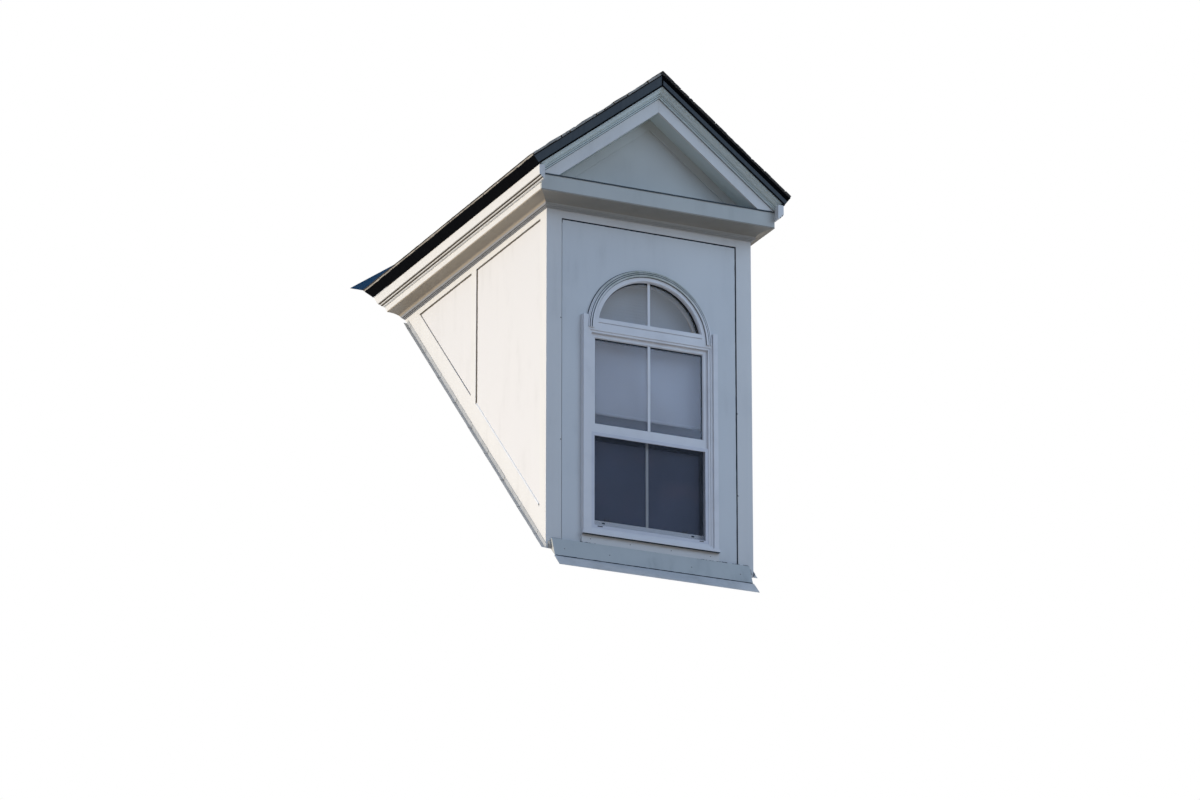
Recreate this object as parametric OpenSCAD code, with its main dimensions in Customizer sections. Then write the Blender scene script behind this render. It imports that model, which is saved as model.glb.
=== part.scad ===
// Gabled roof dormer with an arched window under a closed pediment.
// Millimetres. X runs across the front, Y into the building, Z up.
// The origin is on the main roof's plane, midway along the foot of the front wall.

/* [Main roof] */
// Slope of the main roof that the dormer stands on
roof_pitch = 45; // [40:1:50]

/* [Walls] */
// Width across the corner boards
wall_w = 1420; // [1360:10:1500]
// Height from the foot of the front wall to the underside of the cornice
wall_h = 2233; // [2200:5:2260]
// Thickness of the framed and sheathed walls behind the boards
frame_t = 95; // [90:1:100]
// Thickness of the corner boards, stiles and rails
board_t = 19; // [17:1:22]
// Thickness of the flat panels between the boards
panel_t = 14; // [11:1:16]
// Open joint between a panel and its boards
groove_w = 5; // [2:0.5:6]
// Width of the two front corner boards
corner_w = 105; // [95:1:115]
// Height of the frieze board that shows below the cornice
frieze_h = 50; // [40:1:60]

/* [Cheeks] */
// Depth of a cheek's front stile, measured from the front of the corner board
stile_w = 95; // [85:1:110]
// Width of the stile that divides a cheek's two panels
mid_stile_w = 78; // [65:1:90]
// Distance from the front of the wall to that stile
mid_stile_y = 1080; // [1000:10:1160]
// Height of the top rail that shows below the cornice
top_rail_h = 40; // [30:1:60]
// Width of the bottom rail, square to the main roof
foot_rail_w = 142; // [120:1:160]

/* [Curb and foot] */
// Thickness of the timber curb that lies on the main roof
curb_t = 38; // [35:1:45]
// Width of the curb's side and valley timbers
curb_w = 95; // [90:1:100]
// Height of the top of the skirt board above the foot
skirt_top = 63; // [55:1:75]
// How far the skirt board kicks out at the bottom of its back face
skirt_kick = 40; // [30:1:50]
// Thickness of the skirt board
skirt_t = 14; // [11:1:18]
// How far each end of the skirt board stops short of the wall's corner
skirt_set = 35; // [30:1:60]
// Width of the apron flashing on the roof below the skirt, measured in plan
apron_w = 76; // [60:1:90]
// How far the apron flashing runs past each end of the skirt board
apron_over = 6; // [3:1:12]
// Thickness of the flashing metal as folded
flashing_t = 3; // [2:0.5:4]
// Width of each leg of the step flashing
step_leg = 28; // [20:1:40]
// Width of the valley flashing beside the valley, measured across
valley_w = 66; // [55:1:80]

/* [Roof] */
// Slope of the dormer's own roof
gable_pitch = 38; // [36:1:40]
// How far the eaves stand out past the walls
eave_over = 190; // [180:1:200]
// Height of the eaves' tips above the top of the base board
tip_rise = 96; // [88:1:104]
// How far the roof covering stands in front of the wall
roof_front = 208; // [204:1:214]
// Thickness of the roof covering
cover_t = 18; // [15:1:22]
// Thickness of the roof boards
deck_t = 16; // [12:1:18]
// Depth of the dark metal edge below the covering
edge_h = 62; // [55:1:70]
// Thickness of the dark metal edge with its backing strip
edge_t = 19; // [16:1:22]
// How far the covering stands past the metal edge at the gable
edge_set = 8; // [5:1:10]
// Depth of the rafters
rafter_d = 89; // [85:1:95]
// Thickness of the rafters and of the ridge board
rafter_t = 38; // [35:1:40]
// Distance between rafters
rafter_step = 406; // [380:1:430]
// Number of rafter pairs
rafter_count = 6; // [5:1:6]
// Depth of the ridge board
ridge_d = 140; // [120:1:160]
// Width of each wing of the ridge cap
cap_w = 140; // [120:1:160]
// Thickness of the ridge cap
cap_t = 6; // [5:1:8]

/* [Pediment and cornice] */
// How far the front base board stands in front of the wall
front_reach = 141; // [130:1:150]
// How far the side base boards stand out from the wall
side_reach = 100; // [90:1:110]
// Height of the bed moulding
bed_h = 67; // [60:1:75]
// Height of the base board
base_h = 104; // [95:1:115]
// Height of the rebate along the top of the front base board
rebate_h = 7; // [5:1:9]
// Depth of that rebate
rebate_d = 8; // [5:1:10]
// Thickness of the base board and of the rake board
fascia_t = 19; // [17:1:22]
// Depth of the raking crown moulding, square to the slope
crown_h = 50; // [45:1:56]
// How far the raking crown stands in front of the rake board
crown_reach = 54; // [48:1:58]
// Width of the flat rake board that shows below the crown
rake_w = 73; // [65:1:80]
// How far the eave crown stands out from the side base board
eave_crown_w = 38; // [32:1:42]
// Height of the eave crown
eave_crown_h = 93; // [88:1:98]
// Height of the side base board that shows below the eave crown
eave_reveal = 42; // [34:1:48]
// Height of each of the two steps at the foot of the eave crown
eave_step_h = 13; // [11:1:15]
// Rounding of the lower edges of the crown and its steps
eave_round = 5; // [3:1:6]
// Width of the frieze strip on the tympanum
tymp_strip_w = 57; // [45:1:65]
// Thickness of that strip
tymp_strip_t = 7; // [5:1:10]

/* [Window] */
// Width of the window unit inside its casing
unit_w = 864; // [840:2:880]
// Height of the bottom of the unit above the foot
unit_bottom = 144; // [135:1:155]
// Height of the joint between the sashes' unit and the arched unit
spring_z = 1485; // [1470:1:1500]
// Thickness of the unit's jambs and head
jamb_t = 30; // [26:1:34]
// Depth of the unit from front to back
unit_d = 100; // [95:1:104]
// How far the unit stands back from the face of its casing
unit_set = 10; // [6:1:14]
// Width of the raised lip round the front of the unit
lip_w = 16; // [12:1:18]
// How far the lip stands in front of the rest of the unit
lip_d = 5; // [3:1:6]
// Height of the sill strip under the unit and its casings
sill_strip_h = 18; // [14:1:24]
// How far the sill strip stands in front of the casing
sill_nose = 8; // [5:1:12]
// How far the screen stands back from the front of the unit
screen_set = 8; // [6:1:10]
// Running gap between the screen and the sashes
track_gap = 2; // [1:0.5:3]
// How far the glass stands back from the front of its sash
glass_set = 8; // [6:1:10]
// Width and depth of the step round the glass on the front of a sash
bead_w = 5; // [3:1:6]
// Width of the sashes' stiles
sash_w = 32; // [28:1:36]
// Thickness of a sash
sash_t = 30; // [27:1:32]
// Height of the meeting rail
meet_h = 62; // [56:1:66]
// Height of the top of the meeting rails above the foot
meet_z = 863; // [850:1:875]
// Height of the lower sash's bottom rail
sash_foot_h = 69; // [60:1:75]
// Width of the bars that divide the glass
bar_w = 18; // [15:1:20]
// Thickness of the glazing
glass_t = 14; // [12:1:16]
// Width of the arched unit's curved member
arch_rim_w = 32; // [28:1:36]
// Height of the arched unit's bottom rail
arch_rail_h = 70; // [62:1:78]
// Width of the moulding round the arch
arch_mould_w = 42; // [38:1:46]
// Width of the side casings
casing_w = 38; // [34:1:42]
// How far the casing and the arch moulding stand in front of the panel
casing_t = 25; // [22:1:28]
// How far the side casings run up past the spring line
casing_rise = 80; // [60:1:100]
// Height of the board under the sill
sill_board_h = 58; // [50:1:64]
// Width of the insect screen's frame
screen_w = 22; // [18:1:26]
// Thickness of the insect screen's frame
screen_t = 9; // [7:1:10]

/* [Blinds] */
// Height of the hem of the roller blind above the foot
blind_hem = 952; // [900:1:1000]
// Diameter of the blind's roller
roller_d = 28; // [24:1:30]
// Thickness given to the blind and the arch shade
blind_t = 2; // [2:0.5:3]
// How far the blind runs past the sashes at each side, and its roller past the blind
blind_lap = 6; // [4:1:8]

/* [Hidden] */

// Size of the helper solids that trim the pieces, past the far end of the roof
far = 6000;
// Fineness of the round work
round_fn = 96;

tan_p = tan(roof_pitch);
cos_p = cos(roof_pitch);
tan_g = tan(gable_pitch);
cos_g = cos(gable_pitch);
sin_g = sin(gable_pitch);

wall_x = wall_w / 2;
frame_x = wall_x - board_t;
inner_x = frame_x - frame_t;
inner_y = board_t + frame_t;
panel_y = board_t - panel_t;
panel_x = wall_x - corner_w;
base_z = wall_h + bed_h;
shelf_z = base_z + base_h;
eave_x = wall_x + eave_over;
apex_z = shelf_z + tip_rise + eave_x * tan_g;
skirt_w = wall_w - 2 * skirt_set;
apron_len = skirt_w + 2 * apron_over;

// Depths below the top of the roof covering, square to the slope
deck_p = cover_t;
rafter_p = deck_p + deck_t;
edge_p = deck_p + edge_h;
crown_p = edge_p + crown_h;
rake_p = crown_p + rake_w;
plate_p = rafter_p + rafter_d;
soffit_p = rake_p - fascia_t;
slope_len = eave_x / cos_g;

edge_y = -(roof_front - edge_set);
edge_back = edge_y + edge_t;
rake_y = -front_reach;
base_x = wall_x + side_reach;
crown_x = base_x + eave_crown_w;
eave_crown_z = base_z + eave_reveal;
eave_top_z = eave_crown_z + eave_crown_h;
roof_back = apex_z / tan_p + cap_t;

// The window's heights and depths
unit_x = unit_w / 2;
sash_x = unit_x - jamb_t;
glass_x = sash_x - sash_w;
unit_front = panel_y - casing_t + unit_set;
screen_y = unit_front + screen_set;
upper_y = screen_y + screen_t + track_gap;
lower_y = upper_y + sash_t + track_gap;
sill_z = unit_bottom + jamb_t;
head_z = spring_z - jamb_t;
arch_r = unit_x - arch_mould_w;
arch_glass_r = arch_r - arch_rim_w;
arch_glass_z = spring_z + arch_rail_h;
blind_y = unit_front + unit_d;
roller_z = head_z + roller_d / 2;
// How far the blind leaves its roller below the roller's middle
blind_drop = sqrt(pow(roller_d / 2, 2) - pow(roller_d / 2 - blind_t, 2));
blind_x = sash_x + blind_lap;
roller_x = blind_x + blind_lap;

// The skirt board's lean off the vertical
skirt_lean = atan(skirt_kick / (skirt_top + skirt_kick * tan_p));

// Height of the dormer roof at depth p below its top and distance x from the ridge
function roof_z(p, x) = apex_z - p / cos_g - abs(x) * tan_g;
// Height of the main roof at y, raised by h square to its slope
function plane_z(y, h) = y * tan_p + h / cos_p;
// A point on the right slope at depth p and distance r down from the ridge
function slope_pt(p, r) = [r * cos_g - p * sin_g, apex_z - r * sin_g - p * cos_g];
// A band of the right slope between two depths, plumb at the ridge and square at its end
function slope_band(p0, p1, r) =
    [[0, roof_z(p0, 0)], slope_pt(p0, r), slope_pt(p1, r), [0, roof_z(p1, 0)]];
// Points of an arc about c
function arc(c, r, a0, a1, n) =
    [for (i = [0:n]) c + r * [cos(a0 + (a1 - a0) * i / n), sin(a0 + (a1 - a0) * i / n)]];

// Draws an outline in X and Z, and runs it from y0 to y1
module along_y(y0, y1) {
    translate([0, y1, 0]) rotate([90, 0, 0]) linear_extrude(y1 - y0) children();
}

// Draws an outline in Y and Z, and runs it from x0 to x1
module along_x(x0, x1) {
    translate([x0, 0, 0]) rotate([90, 0, 90]) linear_extrude(x1 - x0) children();
}

// Draws an outline in X and Y, and runs it from z0 up to z1
module upright(z0, z1) {
    translate([0, 0, z0]) linear_extrude(z1 - z0) children();
}

// Draws the right-hand piece, or its mirror image on the left
module on_side(side) {
    if (side < 0) mirror([1, 0, 0]) children();
    else children();
}

// A block between two corners
module block(low, high) {
    translate(low) cube(high - low);
}

// Everything under the dormer roof at depth p
module below_roof(p) {
    along_y(-far, far)
        polygon([[-far, roof_z(p, far)], [0, roof_z(p, 0)], [far, roof_z(p, far)],
                 [far, -2 * far], [-far, -2 * far]]);
}

// Everything over the main roof, raised by h square to its slope
module above_plane(h) {
    along_x(-far, far)
        polygon([[-far, plane_z(-far, h)], [far, plane_z(far, h)], [-far, plane_z(far, h)]]);
}

// Everything behind the back face of the skirt board
module behind_skirt() {
    along_x(-far, far)
        polygon([[far / tan(90 - skirt_lean), skirt_top + far],
                 [-far / tan(90 - skirt_lean), skirt_top - far],
                 [far * 2, skirt_top - far], [far * 2, skirt_top + far]]);
}

// The arched outline that the window fills in the wall and its panel
module window_outline() {
    translate([-unit_x, unit_bottom - sill_strip_h])
        square([unit_w, spring_z - unit_bottom + sill_strip_h]);
    translate([0, spring_z]) circle(r = arch_r, $fn = round_fn);
}

// Outline of the arched unit inside radius r and above height z
module arch_outline(r, z) {
    intersection() {
        translate([0, spring_z]) circle(r = r, $fn = round_fn);
        translate([-far, z]) square([2 * far, far]);
    }
}

// The curb is one ring of timbers laid flat on the main roof, bevelled under the roof boards
module roof_curb() {
    ring_y = roof_z(rafter_p, inner_x) / tan_p;
    top_y = roof_z(rafter_p, 0) / tan_p;
    inner_drop = curb_w / sin(atan((top_y - ring_y) / inner_x / cos_p)) * 1.5;
    color("burlywood")
    difference() {
        intersection() {
            rotate([roof_pitch, 0, 0]) linear_extrude(curb_t) difference() {
                polygon([[-frame_x, 0], [-frame_x, ring_y / cos_p], [0, top_y / cos_p + curb_w],
                         [frame_x, ring_y / cos_p], [frame_x, 0], [skirt_w / 2, 0],
                         [skirt_w / 2, -far / 10], [-skirt_w / 2, -far / 10], [-skirt_w / 2, 0]]);
                polygon([[-inner_x, inner_y / cos_p], [-inner_x, (ring_y - curb_w) / cos_p - curb_w],
                         [0, top_y / cos_p - inner_drop], [inner_x, (ring_y - curb_w) / cos_p - curb_w],
                         [inner_x, inner_y / cos_p]]);
            }
            behind_skirt();
            below_roof(rafter_p);
        }
        for (side = [-1, 1]) on_side(side)
            block([panel_x, 0, -far], [wall_x + 1, board_t, far]);
    }
}

// The framed front wall runs up into the gable and is cut through for the window
module front_wall() {
    color("wheat")
    intersection() {
        along_y(board_t, inner_y) difference() {
            translate([-frame_x, 0]) square([2 * frame_x, apex_z]);
            window_outline();
        }
        below_roof(rafter_p);
        above_plane(curb_t);
    }
}

module cheek_wall(side) {
    color("wheat")
    on_side(side) intersection() {
        block([inner_x, inner_y, 0], [frame_x, far / 2, apex_z]);
        below_roof(plate_p);
        above_plane(curb_t);
    }
}

module front_panel() {
    color("lavender")
    intersection() {
        along_y(panel_y, board_t) difference() {
            translate([-panel_x + groove_w, 0])
                square([2 * (panel_x - groove_w), wall_h - frieze_h - groove_w]);
            window_outline();
        }
        above_plane(curb_t);
    }
}

module corner_board(side) {
    color("white")
    on_side(side) intersection() {
        block([panel_x, 0, -board_t], [wall_x, board_t, base_z]);
        above_plane(0);
    }
}

module front_frieze() {
    color("white")
    block([-panel_x, 0, wall_h - frieze_h], [panel_x, board_t, base_z]);
}

// The space between the boards of a cheek from y0 to y1, drawn in by g all round
module cheek_bay(y0, y1, g) {
    intersection() {
        block([frame_x - 1, y0 + g, 0], [wall_x + 1, y1 - g, wall_h - top_rail_h - g]);
        above_plane(foot_rail_w + g);
    }
}

module cheek_panels(side) {
    color("lavender")
    on_side(side) intersection() {
        block([frame_x, 0, 0], [frame_x + panel_t, far / 2, apex_z]);
        union() {
            cheek_bay(stile_w, mid_stile_y, groove_w);
            cheek_bay(mid_stile_y + mid_stile_w, far / 2, groove_w);
        }
    }
}

module cheek_boards(side) {
    color("white")
    on_side(side) difference() {
        intersection() {
            block([frame_x, board_t, 0], [wall_x, far / 2, base_z]);
            above_plane(0);
        }
        cheek_bay(stile_w, mid_stile_y, 0);
        cheek_bay(mid_stile_y + mid_stile_w, far / 2, 0);
    }
}

// The jambs, sill and head that hold the two sashes, with a raised lip and a sill strip
module window_frame() {
    color("ghostwhite")
    union() {
        along_y(unit_front + lip_d, unit_front + unit_d) difference() {
            translate([-unit_x, unit_bottom]) square([unit_w, spring_z - unit_bottom]);
            translate([-sash_x, sill_z]) square([2 * sash_x, head_z - sill_z]);
        }
        along_y(unit_front, unit_front + lip_d + 1) difference() {
            translate([-unit_x, unit_bottom]) square([unit_w, spring_z - unit_bottom]);
            translate([-unit_x + lip_w, unit_bottom + lip_w])
                square([unit_w - 2 * lip_w, spring_z - unit_bottom - 2 * lip_w]);
        }
        block([-unit_x - casing_w, panel_y - casing_t - sill_nose, unit_bottom - sill_strip_h],
              [unit_x + casing_w, panel_y, unit_bottom]);
        block([-unit_x, panel_y - casing_t - sill_nose, unit_bottom - sill_strip_h],
              [unit_x, unit_front + unit_d, unit_bottom + 1]);
    }
}

// A sash with one upright bar, from z0 to z1, with its own foot and head rails
module sash(y, z0, z1, foot, head) {
    along_y(y + bead_w, y + sash_t) difference() {
        translate([-sash_x, z0]) square([2 * sash_x, z1 - z0]);
        translate([-glass_x, z0 + foot]) square([2 * glass_x, z1 - z0 - foot - head]);
    }
    along_y(y, y + bead_w + 1) difference() {
        translate([-sash_x, z0]) square([2 * sash_x, z1 - z0]);
        translate([-glass_x - bead_w, z0 + foot - bead_w])
            square([2 * (glass_x + bead_w), z1 - z0 - foot - head + 2 * bead_w]);
    }
    along_y(y + bead_w / 2, y + glass_set)
        translate([-bar_w / 2, z0 + foot - 1]) square([bar_w, z1 - z0 - foot - head + 2]);
}

module upper_sash() {
    color("ghostwhite") sash(upper_y, meet_z - meet_h, head_z, meet_h, sash_w);
}

module upper_glass() {
    color("lightblue", 0.4)
    block([-glass_x, upper_y + glass_set, meet_z],
          [glass_x, upper_y + glass_set + glass_t, head_z - sash_w]);
}

module lower_sash() {
    color("ghostwhite") sash(lower_y, sill_z, meet_z, sash_foot_h, meet_h);
}

module lower_glass() {
    color("lightblue", 0.4)
    block([-glass_x, lower_y + glass_set, sill_z + sash_foot_h],
          [glass_x, lower_y + glass_set + glass_t, meet_z - meet_h]);
}

// The half screen stands in its own track outside the lower sash
module screen_frame() {
    color("white")
    along_y(screen_y, screen_y + screen_t) difference() {
        translate([-sash_x, sill_z]) square([2 * sash_x, meet_z - meet_h - sill_z]);
        translate([-sash_x + screen_w, sill_z + screen_w])
            square([2 * (sash_x - screen_w), meet_z - meet_h - sill_z - 2 * screen_w]);
    }
}

module screen_mesh() {
    color("dimgray", 0.5)
    block([-sash_x + screen_w, screen_y + screen_t / 2, sill_z + screen_w],
          [sash_x - screen_w, screen_y + screen_t / 2 + 1, meet_z - meet_h - screen_w]);
}

// The half round unit, with a stepped rim, a groove along its rail and an upright bar
module arch_frame() {
    rail_mid = (spring_z + arch_glass_z) / 2;
    color("ghostwhite") {
        along_y(unit_front + lip_d, unit_front + unit_d) difference() {
            arch_outline(arch_r, spring_z);
            arch_outline(arch_glass_r, arch_glass_z);
        }
        along_y(unit_front, unit_front + lip_d + 1) difference() {
            arch_outline(arch_r, spring_z);
            arch_outline(arch_glass_r + bead_w, arch_glass_z - bead_w);
            translate([-arch_glass_r, rail_mid]) square([2 * arch_glass_r, lip_d]);
        }
        along_y(upper_y + bead_w / 2, upper_y + glass_set)
            intersection() {
                arch_outline(arch_glass_r + 1, arch_glass_z - 1);
                translate([-bar_w / 2, spring_z]) square([bar_w, arch_r]);
            }
    }
}

module arch_glass() {
    color("lightblue", 0.4)
    along_y(upper_y + glass_set, upper_y + glass_set + glass_t)
        arch_outline(arch_glass_r, arch_glass_z);
}

// The moulding's section has three beads that step back towards the outside
module arch_moulding() {
    bead_r = arch_mould_w / 7;
    color("ghostwhite")
    translate([0, panel_y, spring_z]) rotate([90, 0, 0])
        rotate_extrude(angle = 180, $fn = round_fn) difference() {
            translate([arch_r, 0]) polygon([
                [0, 0], [0, casing_t], [arch_mould_w * 0.3, casing_t],
                [arch_mould_w * 0.36, casing_t - bead_r / 2],
                [arch_mould_w * 0.56, casing_t - bead_r / 2],
                [arch_mould_w * 0.62, casing_t - bead_r],
                [arch_mould_w * 0.8, casing_t - bead_r],
                [arch_mould_w * 0.86, casing_t / 2],
                [arch_mould_w, casing_t / 2], [arch_mould_w, 0]]);
            for (share = [0.33, 0.59, 0.83])
                translate([arch_r + arch_mould_w * share, casing_t])
                    circle(r = bead_r / 2.5, $fn = 16);
        }
}

// A side casing with a step along its outer edge
module casing(side) {
    step_w = casing_w / 6;
    color("ghostwhite")
    on_side(side) upright(unit_bottom, spring_z + casing_rise) polygon([
        [unit_x, panel_y], [unit_x, panel_y - casing_t],
        [unit_x + casing_w - step_w, panel_y - casing_t],
        [unit_x + casing_w - step_w, panel_y - casing_t / 2],
        [unit_x + casing_w, panel_y - casing_t / 2], [unit_x + casing_w, panel_y]]);
}

module sill_board() {
    color("white")
    block([-unit_x - casing_w, panel_y - casing_t / 2, unit_bottom - sill_strip_h - sill_board_h],
          [unit_x + casing_w, panel_y, unit_bottom - sill_strip_h]);
}

module roller_blind() {
    color("whitesmoke")
    block([-blind_x, blind_y, blind_hem], [blind_x, blind_y + blind_t, roller_z - blind_drop]);
}

module blind_roller() {
    color("whitesmoke")
    translate([-roller_x, blind_y + roller_d / 2, roller_z])
        rotate([0, 90, 0]) cylinder(h = 2 * roller_x, d = roller_d, $fn = 32);
}

module arch_shade() {
    color("whitesmoke")
    along_y(unit_front + unit_d - blind_t, unit_front + unit_d)
        arch_outline(arch_glass_r, arch_glass_z);
}

// The skirt board leans on the curb and covers the foot of the front wall
module skirt_board() {
    down = [-sin(skirt_lean), -cos(skirt_lean)];
    out = [-cos(skirt_lean), sin(skirt_lean)];
    head = [0, skirt_top];
    color("slategray")
    intersection() {
        along_x(-skirt_w / 2, skirt_w / 2)
            polygon([head, head + out * skirt_t,
                     head + out * skirt_t + down * far / 10, head + down * far / 10]);
        above_plane(0);
    }
}

// The apron flashing lies on the roof below the skirt
module apron_flashing() {
    skirt_foot = skirt_kick + skirt_t / cos(skirt_lean) / (1 - tan(skirt_lean) * tan_p);
    color("gainsboro")
    along_x(-apron_len / 2, apron_len / 2)
        polygon([[-skirt_foot, plane_z(-skirt_foot, 0)],
                 [-skirt_foot, plane_z(-skirt_foot, flashing_t)],
                 [-skirt_foot - apron_w, plane_z(-skirt_foot - apron_w, flashing_t)],
                 [-skirt_foot - apron_w, plane_z(-skirt_foot - apron_w, 0)]]);
}

// Each strip is folded up the foot of a cheek and out over the main roof
module step_flashing(side) {
    last_y = (wall_h - step_leg / cos_p) / tan_p;
    color("lightgray")
    on_side(side) intersection() {
        block([wall_x, 0, -step_leg], [wall_x + step_leg, last_y, apex_z]);
        above_plane(0);
        difference() {
            block([wall_x, 0, -step_leg], [wall_x + step_leg, last_y, apex_z]);
            above_plane(step_leg);
            intersection() {
                block([wall_x + flashing_t, -1, -step_leg - 1],
                      [wall_x + step_leg + 1, last_y + 1, apex_z]);
                above_plane(flashing_t);
            }
        }
    }
}

// Section of the bed moulding: fillets at the wall, then a cove out to the base board
bed_section = concat(
    [[0, 0], [0.07, 0], [0.07, 0.1], [0.13, 0.1], [0.13, 0.2], [0.2, 0.2], [0.2, 0.28]],
    [for (i = [0:8]) [0.2 + 0.74 * (1 - cos(i * 11.25)), 0.28 + 0.6 * sin(i * 11.25)]],
    [[1, 0.88], [1, 1], [0, 1]]
);
function scaled(points, w, h) = [for (p = points) [p[0] * w, p[1] * h]];

// Plan of one run of the cornice, cut on the mitre at the front corners
module front_run() {
    upright(-far, far)
        polygon([[-wall_x, 0], [-base_x, rake_y], [base_x, rake_y], [wall_x, 0]]);
}
module side_run() {
    upright(-far, far)
        polygon([[wall_x, 0], [base_x, rake_y], [base_x, far], [wall_x, far]]);
}

module bed_moulding_front() {
    color("white")
    intersection() {
        along_x(-base_x, base_x)
            mirror([1, 0]) translate([0, wall_h])
                polygon(scaled(bed_section, front_reach, bed_h));
        front_run();
    }
}

module bed_moulding_side(side) {
    color("white")
    on_side(side) intersection() {
        along_y(rake_y, base_z / tan_p)
            translate([wall_x, wall_h]) polygon(scaled(bed_section, side_reach, bed_h));
        side_run();
        above_plane(0);
    }
}

// A rebate along the top makes the dark line under the tympanum
module base_board_front() {
    color("white")
    difference() {
        block([-base_x, rake_y, base_z], [base_x, rake_y + fascia_t, shelf_z]);
        block([-base_x - 1, rake_y - 1, shelf_z - rebate_h],
              [base_x + 1, rake_y + rebate_d, shelf_z + 1]);
    }
}

module base_board_side(side) {
    color("white")
    on_side(side) intersection() {
        block([base_x - fascia_t, rake_y + fascia_t, base_z], [base_x, far / 2, apex_z]);
        below_roof(edge_p);
        above_plane(0);
    }
}

// The shelf closes the cornice in front of the tympanum
module cornice_shelf() {
    color("white")
    block([-base_x + fascia_t, rake_y + fascia_t, shelf_z - fascia_t],
          [base_x - fascia_t, 0, shelf_z]);
}

// The eave crown steps out twice from the side base board to its face
module eave_crown(side) {
    foot = [for (i = [0:2]) each concat(
        arc([base_x + (i + 1) * eave_crown_w / 3 - eave_round, eave_crown_z + i * eave_step_h + eave_round],
            eave_round, -90, 0, 5),
        [[base_x + (i + 1) * eave_crown_w / 3, i < 2 ? eave_crown_z + (i + 1) * eave_step_h : eave_top_z]])];
    color("white")
    on_side(side) intersection() {
        along_y(rake_y - crown_reach, far / 2)
            polygon(concat([[base_x, eave_crown_z]], foot, [[base_x, eave_top_z]]));
        above_plane(0);
    }
}

module tympanum() {
    color("lavender")
    intersection() {
        block([-wall_x, 0, base_z], [wall_x, board_t, apex_z]);
        below_roof(rafter_p);
    }
}

// The strip follows the soffits across the tympanum
module tympanum_strip() {
    color("white")
    intersection() {
        block([-wall_x, -tymp_strip_t, shelf_z], [wall_x, 0, apex_z]);
        difference() {
            below_roof(rake_p);
            below_roof(rake_p + tymp_strip_w);
        }
    }
}

module rake_board(side) {
    color("white")
    on_side(side) intersection() {
        along_y(rake_y, rake_y + fascia_t) polygon(slope_band(rafter_p, rake_p, slope_len));
        block([0, -far, shelf_z], [base_x, far, apex_z]);
    }
}

module rake_soffit(side) {
    color("white")
    on_side(side) intersection() {
        along_y(rake_y + fascia_t, 0) polygon(slope_band(soffit_p, rake_p, slope_len));
        block([0, -far, shelf_z], [base_x, far, apex_z]);
    }
}

// Section of the raking crown in Y and depth: two fine beads at the foot, then a cyma
function crown_section() = let (
    foot = [rake_y, -crown_p],
    nose = [rake_y - crown_reach, -edge_p],
    lip = crown_h / 8,
    bead = crown_h / 7,
    step = crown_reach / 9,
    start = foot + [-2 * step, 2 * bead + lip],
    half_y = (crown_reach - 2 * step) / 2,
    half_p = (crown_h - 2 * bead - 2 * lip) / 2,
    mid = start + [-half_y, half_p]
) concat(
    [foot, foot + [-2 * step, 0], foot + [-2 * step, bead], foot + [-step, bead],
     foot + [-step, bead + lip / 2], foot + [-2.5 * step, bead + lip / 2],
     foot + [-2.5 * step, 2 * bead + lip / 2], foot + [-2 * step, 2 * bead + lip / 2], start],
    [for (i = [1:6]) [mid[0] + half_y * (1 - sin(i * 15)), mid[1] - half_p * cos(i * 15)]],
    [for (i = [1:6]) [mid[0] - half_y * (1 - cos(i * 15)), mid[1] + half_p * sin(i * 15)]],
    [nose, [edge_back, -edge_p], [edge_back, -rafter_p], [rake_y, -rafter_p]]
);

module rake_crown(side) {
    color("white")
    on_side(side) intersection() {
        translate([0, 0, apex_z]) rotate([0, gable_pitch, 0]) rotate([90, 0, 90])
            linear_extrude(slope_len) polygon(crown_section());
        difference() {
            block([0, -far, shelf_z - far], [crown_x, far, apex_z]);
            block([base_x, -far, -far], [crown_x + 1, far, eave_top_z]);
        }
        along_y(-far, far) polygon(slope_band(rafter_p, crown_p, slope_len - edge_t));
    }
}

// The barge rafters carry the rake boards from behind
module barge_rafters() {
    color("burlywood")
    for (side = [-1, 1]) on_side(side) intersection() {
        along_y(rake_y + fascia_t, rake_y + fascia_t + rafter_t)
            polygon(slope_band(rafter_p, soffit_p, slope_len));
        block([0, -far, shelf_z], [base_x - fascia_t, far, apex_z]);
    }
}

module ridge_board() {
    color("burlywood")
    intersection() {
        block([-rafter_t / 2, inner_y, apex_z - ridge_d - rafter_p / cos_g],
              [rafter_t / 2, far / 2, apex_z]);
        below_roof(rafter_p);
        above_plane(curb_t);
    }
}

// Each rafter is notched over the cheek wall and has a thin tail at the eave
module rafters() {
    color("burlywood")
    for (side = [-1, 1], i = [1:rafter_count])
        on_side(side) intersection() {
            along_y(inner_y + i * rafter_step - rafter_t / 2, inner_y + i * rafter_step + rafter_t / 2)
                union() {
                    intersection() {
                        polygon(slope_band(rafter_p, plate_p, slope_len - edge_t));
                        translate([rafter_t / 2, 0]) square([frame_x - rafter_t / 2, apex_z]);
                    }
                    intersection() {
                        polygon(slope_band(rafter_p, edge_p, slope_len - edge_t));
                        translate([rafter_t / 2, 0]) square([eave_x, apex_z]);
                    }
                }
            above_plane(curb_t);
        }
}

module roof_deck(side) {
    color("tan")
    on_side(side) intersection() {
        along_y(edge_back, roof_back) polygon(slope_band(deck_p, rafter_p, slope_len - edge_t));
        above_plane(0);
    }
}

// The metal edge runs down the gable and back along the eave
module metal_edge(side) {
    color("darkslategray")
    on_side(side) intersection() {
        union() {
            along_y(edge_y, edge_back) polygon(slope_band(deck_p, edge_p, slope_len));
            along_y(edge_back - 1, roof_back)
                polygon([slope_pt(deck_p, slope_len - edge_t), slope_pt(deck_p, slope_len),
                         slope_pt(edge_p, slope_len), slope_pt(edge_p, slope_len - edge_t)]);
        }
        above_plane(0);
    }
}

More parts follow.
